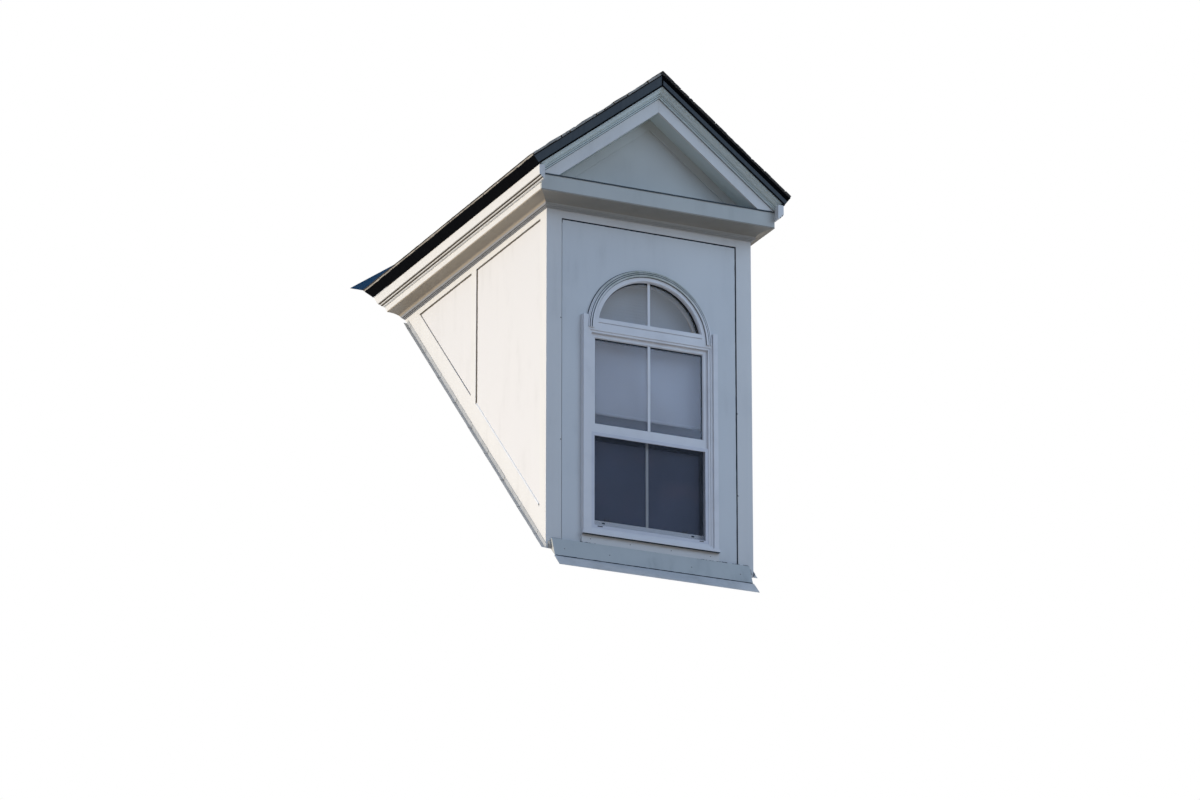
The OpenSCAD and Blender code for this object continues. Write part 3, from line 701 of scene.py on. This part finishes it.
# Blinds
def roller_blind():
    """Cloth that leaves its roller after one turn and hangs to a hem bar."""
    low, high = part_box("roller_blind")
    tube_low, tube_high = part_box("blind_roller")
    centre = (tube_low + tube_high) / 2
    radius = (tube_high.z - tube_low.z) / 2 + 0.0006
    half = high.x
    front = centre.y - radius
    clear = 0.0003
    path = [(centre.y + radius * cos(a), centre.z + radius * sin(a))
            for a in spaced(radians(-150), pi, 40)]
    path += [(front, z) for z in spaced(centre.z, low.z, 44)[1:]]
    rows = []
    for y, z in path:
        hang = max(0, centre.z - 0.02 - z) / (centre.z - low.z)
        row = []
        for x in spaced(-half, half, 36):
            wave = 0.0016 * hang * sin(x * 21 + 0.6) + 0.0008 * hang * sin(x * 47 + z * 5)
            row.append(Vector((x, y + clear + wave, z)))
        rows.append(row)
    parts = Parts()
    parts.grid(rows)
    cloth = parts.piece("roller_blind_cloth", "blind", smooth=True)
    bar = Parts()
    half_t, half_h = 0.0035, 0.01
    bar.ring_solid([[Vector((x, front + clear + p, low.z + half_h + q))
                     for p, q in ellipse(half_t, half_h, 12)] for x in spaced(-half, half, 4)])
    hem = bar.piece("blind_hem_bar", "blind", smooth=True)
    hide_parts("roller_blind")


def arch_shade():
    """A fixed half-round shade of folded cloth behind the arched glass."""
    low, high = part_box("arch_shade")
    radius = high.x
    centre_z = high.z - radius
    y = (low.y + high.y) / 2
    fold_depth = 0.00025
    rows = []
    for i, z in enumerate(spaced(low.z, high.z - 0.0005, 28)):
        half = sqrt(max(radius ** 2 - (z - centre_z) ** 2, 1e-8))
        fold = fold_depth * (1 if i % 2 else -1)
        rows.append([Vector((x, y + fold, z)) for x in spaced(-half, half, 24)])
    parts = Parts()
    parts.grid(rows)
    cloth = parts.piece("arch_shade_cloth", "blind")
    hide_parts("arch_shade")


def painted_shade_cloth():
    """A dark lining inside the wall, a sheet of painted shade for the unlit room behind, so that the panes
    read as dark as in the photograph.
    """
    low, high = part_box("window_frame")
    wall_back = 0.114
    half = high.x
    top = 1.515
    foot = low.z - 0.02
    rows = []
    for z in spaced(top, foot, 48):
        hang = 0.0035 * (z - top) / (foot - top)
        rows.append([Vector((x, wall_back + 0.0085 + hang * sin(x * 34 + 0.8 * sin(z * 4)), z))
                     for x in spaced(-half, half, 60)])
    parts = Parts()
    parts.grid(rows)
    cloth = parts.piece("painted_shade_cloth", "painted_shade_fabric", smooth=True)
    bar = Parts()
    bar.box((-half - 0.006, wall_back, top - 0.004), (half + 0.006, wall_back + 0.014, top + 0.028))
    batten = bar.piece("painted_shade_batten", "timber_slope")


roller_blind()
arch_shade()
painted_shade_cloth()


# Window details
def screen_wires():
    """The insect screen's wires, upright and level."""
    low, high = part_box("screen_mesh")
    pitch = 0.0021
    half = 0.00008
    y = (low.y + high.y) / 2
    parts = Parts()
    x = low.x
    while x < high.x:
        parts.box((x - half, y - 2 * half, low.z), (x + half, y, high.z))
        x += pitch
    z = low.z
    while z < high.z:
        parts.box((low.x, y, z - half), (high.x, y + 2 * half, z + half))
        z += pitch
    made = parts.piece("screen_wires", "wire")
    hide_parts("screen_mesh")


def window_marks():
    """Pull tabs on the lower sash, and the dark marks and weep slots below it."""
    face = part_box("lower_sash")[0].y
    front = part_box("screen_frame")[0].y
    foot, lip, head = 0.243, 0.246, 0.263
    inner, outer = 0.011, 0.014
    tabs = Parts()
    for x in (-0.275, 0.261):
        for x0, x1, top in ((-outer, -inner, head), (inner, outer, head), (-inner, inner, lip)):
            tabs.box((x + x0, face + 0.002, foot), (x + x1, face + 0.009, top))
    tabs.piece("pull_tabs", "joint")
    marks = Parts()
    for x in (-0.300, 0.312):
        marks.box((x - 0.010, face - 0.0008, 0.2225), (x + 0.010, face + 0.001, 0.2315))
    for x, half in ((-0.342, 0.018), (0.352, 0.014)):
        marks.box((x - half, front - 0.0006, 0.1865), (x + half, front + 0.001, 0.192))
    marks.piece("weep_slots", "slot_and_shade")


def arch_spacer_and_shade(parts):
    """The spacer round the arched glass, widest at its upper right, as in the photograph: the extra width
    there is painted shade.
    """
    low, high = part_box("arch_glass")
    near, far = low.y - SKIN, high.y + SKIN
    centre = high.z - high.x
    start = asin((low.z - centre) / high.x)
    outer = high.x + SKIN
    rings = []
    for a in spaced(start, pi - start, 72):
        inner = high.x - 0.002 - 0.0055 * max(0, cos(a - 0.9))
        rings.append([Vector((radius * cos(a), y, centre + radius * sin(a)))
                      for radius, y in ((outer, near), (inner, near), (inner, far), (outer, far))])
    parts.ring_solid(rings)
    parts.box((low.x, near, low.z - SKIN), (high.x, far, low.z + 0.002))


def glass_spacers_and_shade():
    """The dark spacer and gasket round the edge of each double pane, wider at the tops and right sides as
    painted shade under the rails, the lower pane's top most of all.
    """
    parts = Parts()
    for name, wide, foot, head in (
            ("upper_glass", 0.0035, 0.0025, 0.007), ("lower_glass", 0.005, 0.003, 0.034)):
        low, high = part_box(name)
        near, far = low.y - SKIN, high.y + SKIN
        parts.box((low.x - SKIN, near, low.z), (low.x + wide * 0.5, far, high.z))
        parts.box((high.x - wide, near, low.z), (high.x + SKIN, far, high.z))
        parts.box((low.x, near, low.z - SKIN), (high.x, far, low.z + foot))
        parts.box((low.x, near, high.z - head), (high.x, far, high.z + SKIN))
    # The dark strip that the photograph shows on the lower sash, right of its pane: painted shadow of the
    # screen frame
    sash_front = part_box("lower_sash")[0].y
    screen_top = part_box("screen_frame")[1].z
    parts.box((high.x - 0.0005, sash_front - SKIN, low.z),
              (high.x + 0.016, low.y + SKIN, screen_top - 0.001))
    arch_spacer_and_shade(parts)
    parts.piece("glass_spacers_and_shade", "spacer_and_shade")


def dome(parts, centre, normal=(0, -1, 0), radius=0.0042, height=0.0016):
    """A low round head on a face."""
    n = Vector(normal).normalized()
    u = n.orthogonal().normalized()
    v = n.cross(u)
    c = Vector(centre)
    rings = []
    for level, share in ((-0.001, 1), (0, 1), (0.6 * height, 0.85), (height, 0.4)):
        outline = ellipse(radius * share, radius * share, 12)
        rings.append([c + n * level + u * p + v * q for p, q in outline])
    parts.ring_solid(rings)


def nails():
    """Nail heads on the frieze, the corner boards, the skirt board and the sill board."""
    parts = Parts()
    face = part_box("front_frieze")[0].y
    for x, z in ((-0.273, 2.176), (0.176, 2.176), (0.607, 1.065), (0.607, 0.523),
                 (-0.61, 1.52), (-0.61, 0.72)):
        dome(parts, (x, face, z))
    # The skirt board leans: its nails stand on its face, this far down from its head
    lean = radians(21.2)
    drop = 0.075
    thick = 0.013
    head = 0.063
    y = -thick * cos(lean) - drop * sin(lean) - 0.0008
    z = head + thick * sin(lean) - drop * cos(lean)
    for x in (-0.295, 0.264, -0.6, 0.6):
        dome(parts, (x, y, z), (0, -cos(lean), sin(lean)))
    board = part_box("sill_board")[0]
    for x in (-0.41, -0.14, 0.14, 0.41):
        dome(parts, (x, board.y, board.z + 0.029), radius=0.003, height=0.001)
    parts.piece("nail_heads", "nail", smooth=True)


screen_wires()
window_marks()
glass_spacers_and_shade()
nails()


# Flashing and joints
def shelf_flashing():
    """The dark drip edge that lies in the base board's rebate."""
    low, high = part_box("base_board_front")
    near, far = low.y - 0.004, low.y + 0.007
    end_gap = 0.004
    parts = Parts()
    rings = []
    for x in spaced(low.x + end_gap, high.x - end_gap, 48):
        dip = uniform(-0.0006, 0.0006)
        rings.append([Vector((x, near + dip, high.z - 0.0075 + dip)), Vector((x, far, high.z - 0.0068)),
                      Vector((x, far, high.z + 0.0012)), Vector((x, near + dip, high.z + 0.0006 + dip))])
    parts.ring_solid(rings)
    parts.piece("shelf_flashing", "dark_metal")


def edge_hem(side, word):
    """The black hem at the foot of the gable's metal edge, and the drip flange at its top."""
    parts = Parts()
    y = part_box("metal_edge_" + word)[0].y
    hem = [(EDGE_FOOT - 0.0035 + q, y - 0.0008 + p) for p, q in ellipse(0.0028, 0.0052, 8)]
    parts.ring_solid(along_rake(side, hem, (EDGE_FOOT * TAN_G, 0.4, 0.8, SLOPE_LEN - 0.001)))
    top = COVER_T - 0.0005
    foot = COVER_T + (0.026 if side > 0 else 0.004)
    corners = ((top, -0.0026), (foot, -0.0018), (foot, 0.002), (top, 0.002))
    # At the ridge, each corner lies on the mitre
    parts.ring_solid([[slope_point(side, d, run or d * TAN_G, y + v) for d, v in corners]
                      for run in (0, 0.4, 0.8, SLOPE_LEN)])
    parts.piece("edge_hem_" + word, "black_metal", smooth=True)


def eave_edge(side, word):
    """Black drip metal along an eave, in lapped lengths with a rolled foot."""
    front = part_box("metal_edge_" + word)[0].y
    top, foot = COVER_T - 0.001, EDGE_FOOT
    length, lap, thick = 1.524, 0.03, 0.0008
    parts = Parts()
    y = front - 0.0008
    end = y
    index = 0
    while end < APEX_Z:
        end = min(y + length, APEX_Z)
        near = SLOPE_LEN + 0.0006 + 0.0009 * (index % 2)
        far = near + thick
        parts.ring_solid(along_eave(side, ((top, near), (foot, near), (foot, far), (top, far)), (y, end)))
        y = end - lap
        index += 1
    parts.piece("eave_edge_" + word, "black_metal", cut=True)
    hem = Parts()
    roll = [(foot - 0.001 + q, SLOPE_LEN + 0.0016 + p) for p, q in ellipse(0.0024, 0.0024, 8)]
    hem.ring_solid(along_eave(side, roll, (front, 0, APEX_Z / 2, APEX_Z)))
    hem.piece("eave_hem_" + word, "black_metal", smooth=True, cut=True)


def rake_granules(side, word):
    """The ragged cut ends of the shingles above the gable's metal edge: pale granules lightened as a
    painted highlight on the left, dark felt as painted shade on the right.
    """
    parts = Parts()
    run = 0.03
    back = FRONT_Y + 0.004
    while run < SLOPE_LEN - 0.02:
        length = uniform(0.018, 0.075)
        top = uniform(0.001, 0.0055)
        foot = uniform(0.0135, 0.0175)
        stand = uniform(0.0004, 0.0016)
        end = min(run + length, SLOPE_LEN - 0.004)
        corners = ((top, FRONT_Y - stand), (foot, FRONT_Y - stand * 0.4), (foot, back), (top, back))
        parts.ring_solid(along_rake(side, corners, (run, (run + end) / 2, end)))
        run = end + random.choice((0, 0.001, 0.004, 0.012))
    # Painted highlight on the sunlit left side, painted shade on the right
    parts.piece("rake_granules_" + word, "granule_highlight" if side < 0 else "felt")


def eave_granules(side, word):
    """The pale cut edge of the starter course above an eave's metal, its granules lightened as a painted
    highlight of the sunlit edge.
    """
    parts = Parts()
    y = FRONT_Y + 0.01
    while y < APEX_Z - 0.6:
        end = y + uniform(0.03, 0.12)
        top = uniform(0.0055, 0.008)
        foot = uniform(0.0125, 0.0165)
        out = SLOPE_LEN + uniform(0.0004, 0.0014)
        corners = ((top, out), (foot, out + 0.0008), (foot, out - 0.004), (top, out - 0.004))
        parts.ring_solid(along_eave(side, corners, (y, end)))
        y = end + random.choice((0, 0.001, 0.006))
    parts.piece("eave_granules_" + word, "granule_highlight", cut=True)


def valley_cement(side, word):
    """A dark strip of roofing cement under the cut shingles along a valley."""
    low = APEX_Z - SLOPE_LEN * SIN_G
    tip = Vector((side * SLOPE_LEN * COS_G, low, low))
    top = Vector((0, APEX_Z, APEX_Z))
    inward = (top - tip).normalized().cross(MAIN_UP) * -side
    foot, head = MAIN_UP * 0.0005, MAIN_UP * 0.0045
    wide = inward * 0.024
    parts = Parts()
    rings = []
    for p in between(tip, top, 60):
        edge = inward * (uniform(-0.0012, 0.0012) - 0.002)
        rings.append([p + edge + foot, p + edge + head, p + wide + head, p + wide + foot])
    parts.ring_solid(rings)
    parts.piece("valley_cement_" + word, "felt")


def mitre_strip():
    """The folded joint where the two metal edges meet at the ridge."""
    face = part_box("metal_edge_left")[0].y
    top = APEX_Z - COVER_T / COS_G
    foot = APEX_Z - EDGE_FOOT / COS_G
    half, back_half = 0.0045, 0.0063
    near, far = face - 0.0016, face + 0.001
    corners = ((-half, near), (half, near), (back_half, far), (-back_half, far))
    parts = Parts()
    parts.ring_solid([[Vector((x, y, z)) for x, y in corners]
                      for z in (foot - 0.001, (top + foot) / 2, top)])
    parts.piece("edge_mitre", "black_metal")


def joint_line(parts, points, width, normal, ragged):
    """A bead of sealant along a line, with an uneven width."""
    n = Vector(normal).normalized()
    along = (points[-1] - points[0]).normalized()
    across = n.cross(along).normalized()
    rings = []
    for p in points:
        w = width * uniform(1 - ragged, 1 + ragged) / 2
        rings.append([p - across * w - n * 0.001, p - across * w * 0.6 + n * w * 0.6,
                      p + across * w * 0.6 + n * w * 0.6, p + across * w - n * 0.001])
    parts.ring_solid(rings)


def skirt_joint():
    """The cracked dark joint on top of the skirt board, and the shadow line at its foot."""
    low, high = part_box("skirt_board")
    y = -0.0045
    z = high.z + 0.0028
    parts = Parts()
    for start, end, width in (
            (-0.672, -0.6, 0.003), (-0.478, -0.372, 0.0085), (-0.33, -0.16, 0.0035), (-0.02, 0.034, 0.006),
            (0.06, 0.2, 0.003), (0.315, 0.43, 0.008), (0.45, 0.478, 0.009), (0.49, 0.525, 0.0085),
            (0.56, 0.61, 0.005), (0.64, 0.672, 0.008)):
        joint_line(parts, between((start, y, z), (end, y, z), 14), width, (0, -1, 0.6), 0.5)
    # The line at the foot is painted shadow between the skirt board and the apron, drawn as a bead
    half = -low.x - 0.004
    y = low.y - 0.0005
    z = low.z + 0.0055
    joint_line(parts, between((-half, y, z), (half, y, z), 60), 0.006, (0, -1, 0.35), 0.35)
    parts.piece("skirt_joint", "slot_and_shade")


def cheek_sealant(side, word):
    """The thick pale sealant in the sloping joint under a cheek's front panel."""
    x = side * 0.7058
    front, back = 0.112, 1.07
    rise = 0.1452 / cos(MAIN)
    parts = Parts()
    line = between((x, front, front + rise), (x, back, back + rise), 90)
    joint_line(parts, line, 0.013, (side, 0, 0), 0.3)
    parts.piece("cheek_sealant_" + word, "sealant")


def ragged_band(parts, start, end, across, out, wide, count=60):
    """A flat dark band from start to end, with one straight edge and one ragged edge."""
    rings = []
    for p in between(start, end, count):
        w = Vector(across) * wide * uniform(0.82, 1)
        rings.append([p, p + out, p + w + out, p + w])
    parts.ring_solid(rings)


def cheek_joints(side, word):
    """Dark bands over a cheek's panels, and behind its front panel: painted shade on the reveals where the
    boards stand proud of the recessed panels.
    """
    low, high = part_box("cheek_panels_" + word)
    face = side * (max(abs(low.x), abs(high.x)) + 0.0001)
    out = Vector((side * 0.0005, 0, 0))
    top = high.z + PANEL_GAP
    # The front panel's back edge, the back panel's front edge, and the foot of the joint there
    front_end, back_start = 1.0795, 1.163
    foot = front_end + 0.206
    down, forward = (0, 0, -1), (0, -1, 0)
    parts = Parts()
    ragged_band(parts, (face, low.y, top), (face, front_end, top), down, out, 0.012)
    ragged_band(parts, (face, back_start, top), (face, high.y + 0.004, top), down, out, 0.012)
    ragged_band(parts, (face, front_end, foot), (face, front_end, top), forward, out, 0.016, 40)
    parts.piece("cheek_joints_" + word, "joint")


def front_joints():
    """The joints along the top and the right side of the front panel, dark as painted shade, with a short
    dark band at the top of its left side.
    """
    low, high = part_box("front_panel")
    out = Vector((0, -0.0005, 0))
    face = low.y - 0.0001
    top = high.z + PANEL_GAP
    edge = high.x + PANEL_GAP
    parts = Parts()
    ragged_band(parts, (-edge, face, top), (edge, face, top), (0, 0, -1), out, 0.0095)
    ragged_band(parts, (edge, face, top), (edge, face, 0.075), (-1, 0, 0), out, 0.0085)
    ragged_band(parts, (-edge, face, top), (-edge, face, top - 0.03), (1, 0, 0), out, 0.007, 8)
    parts.piece("front_joints", "slot_and_shade")


def sill_lines():
    """The shaded joints under the window's sill strip and under the sill board."""
    parts = Parts()
    board_low, board_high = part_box("sill_board")
    for name, back, inset, tall in (("window_frame", board_low.y, 0.0012, 0.0016),
                                    ("sill_board", board_high.y, 0.0006, 0.0014)):
        low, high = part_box(name)
        parts.box((low.x + 0.001, low.y + inset, low.z - tall),
                  (high.x - 0.001, back - 0.0002, low.z + 0.0004))
    parts.piece("sill_lines", "seam_shade_line")


def arch_seams():
    """The thin dark lines between the steps of the moulding round the arch, and at its edges: painted
    shade.
    """
    inner_low, inner_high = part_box("arch_frame")
    outer_low, outer_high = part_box("arch_moulding")
    wide = outer_high.x - inner_high.x
    foot = inner_low.z + 0.001
    parts = Parts()
    for share, back, thick in ((-0.03, 0.0094, 0.0022), (0.33, 0.0016, 0.0020), (0.62, 0.0056, 0.0022),
                               (1.02, 0.0236, 0.0032)):
        radius = inner_high.x + wide * share
        y = outer_low.y + back
        parts.ring_solid([[Vector(((radius + p) * cos(a), y + q, foot + (radius + p) * sin(a)))
                           for p, q in ellipse(thick, thick, 6)] for a in spaced(0, pi, 48)])
    parts.piece("arch_seams", "seam_shade_line", smooth=True)


def cornice_lines():
    """The fine grooves under the cornice's two lowest steps, on three sides, dark as painted shade."""
    low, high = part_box("bed_moulding_front")
    wall = high.x - 0.1
    back = 2.3
    parts = Parts()
    for out, step in ((0.013, 0.0134), (0.007, 0.0067)):
        near, far = out - 0.0004, out + 0.0006
        z0 = low.z + step - 0.0026
        z1 = low.z + step + 0.0002
        parts.box((-wall - out, -far, z0), (wall + out, -near, z1))
        for side in (-1, 1):
            parts.side_box(side, (wall + near, -out, z0), (wall + far, back, z1))
    parts.piece("cornice_lines", "joint", cut=True)


def rake_crown_lines(side, word):
    """The fine grooves between the beads at the foot of a raking crown, dark as painted shade."""
    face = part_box("rake_board_" + word)[0].y
    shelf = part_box("cornice_shelf")[1].z
    back, front = 0.0007, -0.0006
    parts = Parts()
    for deep, tall, out in ((0.1300, 0.0028, 0), (0.1196, 0.0034, 0.006), (0.1122, 0.0022, 0.012)):
        head, tail = [], []
        for d, y in ((deep, back), (deep + tall, back), (deep + tall, front), (deep, front)):
            head.append(slope_point(side, d, d * TAN_G, face - out - y))
            tail.append(slope_point(side, d, (APEX_Z - shelf - d * COS_G) / SIN_G, face - out - y))
        parts.ring_solid((head, tail))
    parts.piece("rake_crown_lines_" + word, "seam_shade_line")


def eave_crown_lines(side, word):
    """The dark lines under the steps at the foot of an eave crown: painted shade under each step."""
    low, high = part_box("eave_crown_" + word)
    inner = min(abs(low.x), abs(high.x))
    step_w = (high.x - low.x) / 3
    step_h = 0.013
    tall = 0.0042
    parts = Parts()
    for i in (1, 2):
        x = inner + i * step_w
        z = low.z + i * step_h
        parts.side_box(side, (x - 0.0004, low.y + 0.002, z - tall), (x + 0.008, high.y, z + 0.0002))
    parts.piece("eave_crown_lines_" + word, "joint", cut=True)


def step_flashing(side, word):
    """Overlapping folded pieces that climb the foot of a cheek."""
    low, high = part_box("step_flashing_" + word)
    wall = min(abs(low.x), abs(high.x))
    leg = 0.028
    thick = 0.0012
    length = 0.178 * cos(MAIN)
    lapped = 1.15 * length
    parts = Parts()
    y = low.y
    index = 0
    while y < high.y - 0.01:
        end = min(y + lapped, high.y)
        lift = 0.0006 + 0.0007 * (index % 2) + uniform(0, 0.0004)
        out = wall + leg + uniform(-0.0015, 0)
        tall = leg - uniform(0, 0.002)
        rings = []
        for station, off in ((y, lift + 0.0012), (end, lift)):
            near, far = wall + off, wall + off + thick
            corners = ((near, tall), (far, tall), (far, off + thick), (out, off + thick), (out, off),
                       (near, off))
            rings.append([Vector((side * x, station, station)) + MAIN_UP * h for x, h in corners])
        parts.ring_solid(rings)
        y += length
        index += 1
    made = parts.piece("step_flashing_pieces_" + word, "flashing")
    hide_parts("step_flashing_" + word)


for make in (shelf_flashing, mitre_strip, skirt_joint, front_joints, sill_lines, arch_seams, cornice_lines):
    make()
for side, word in SIDES:
    for make in (rake_crown_lines, edge_hem, eave_edge, rake_granules, eave_granules, valley_cement,
                 cheek_sealant, cheek_joints, eave_crown_lines, step_flashing):
        make(side, word)


# Stage and light
def add_stage():
    """A plain pale floor, far below and clear from beneath, because the camera looks up."""
    half = 9
    near, far = -7.3, 10.7
    depth = -8
    data = bpy.data.meshes.new("floor")
    data.from_pydata([(-half, near, depth), (half, near, depth), (half, far, depth), (-half, far, depth)],
                     [], [(0, 1, 2, 3)])
    pale = (0.86, 0.82, 0.76, 1)
    s = Shader(pale, 0.9)
    s.colour(s.blend(s.noise(0.4), pale, (0.9, 0.86, 0.8, 1)))
    behind = s.node("ShaderNodeNewGeometry").outputs["Backfacing"]
    clear = s.node("ShaderNodeBsdfTransparent").outputs[0]
    s.link(s.mix(behind, s.bsdf.outputs[0], clear), s.tree.nodes["Material Output"].inputs["Surface"])
    data.materials.append(s.material)
    put("floor", data)


def add_world():
    """White for the camera, reflections and glass; for light, brighter above than below."""
    world = bpy.data.worlds.new("world")
    scene.world = world
    world.use_nodes = True
    world.node_tree.nodes.clear()
    w = Tree(world.node_tree, "Generated")
    level = w.ramp(w.axis("Z"), -0.05, 0.55, shape="LINEAR")
    sky = w.node("ShaderNodeBackground")
    w.link(w.blend(level, (0.19, 0.165, 0.135, 1), (0.345, 0.52, 0.84, 1)), sky.inputs["Color"])
    white = w.node("ShaderNodeBackground")
    w.fill(white, Color=(1, 1, 1, 1))
    ray = w.node("ShaderNodeLightPath").outputs
    seen = w.math("MAXIMUM", ray["Is Camera Ray"], ray["Is Glossy Ray"])
    seen = w.math("MAXIMUM", seen, ray["Is Transmission Ray"])
    out = w.node("ShaderNodeOutputWorld")
    w.link(w.mix(seen, sky.outputs[0], white.outputs[0]), out.inputs["Surface"])


def add_lamp(name, kind, energy, colour, place, aim, **settings):
    """Adds a lamp that shines from its place towards its aim."""
    data = bpy.data.lights.new(name, kind)
    data.energy = energy
    data.color = colour
    for setting, value in settings.items():
        setattr(data, setting, value)
    lamp = put(name, data)
    lamp.location = place
    lamp.rotation_euler = (Vector(aim) - Vector(place)).to_track_quat("-Z", "Y").to_euler()


def add_lamps():
    """A low warm sun from the left, a cool fill ahead, and warm light from below."""
    height = radians(16)
    behind = radians(9)
    sun = (-cos(height) * cos(behind), cos(height) * sin(behind), sin(height))
    add_lamp("sun", "SUN", 3.2, (1, 0.9, 0.76), sun, (0, 0, 0), angle=radians(3))
    for name, energy, colour, place, aim, size in (
            ("fill", 150, (0.58, 0.77, 1), (4.5, -5, 5), (0, 0, 1.5), 5),
            ("bounce", 60, (1, 0.8, 0.6), (-5, 2.2, -2.5), (-0.8, 1.6, 2.2), 4)):
        add_lamp(name, "AREA", energy, colour, place, aim, shape="DISK", size=size)


add_stage()
add_world()
add_lamps()

scene.view_settings.view_transform = "Standard"
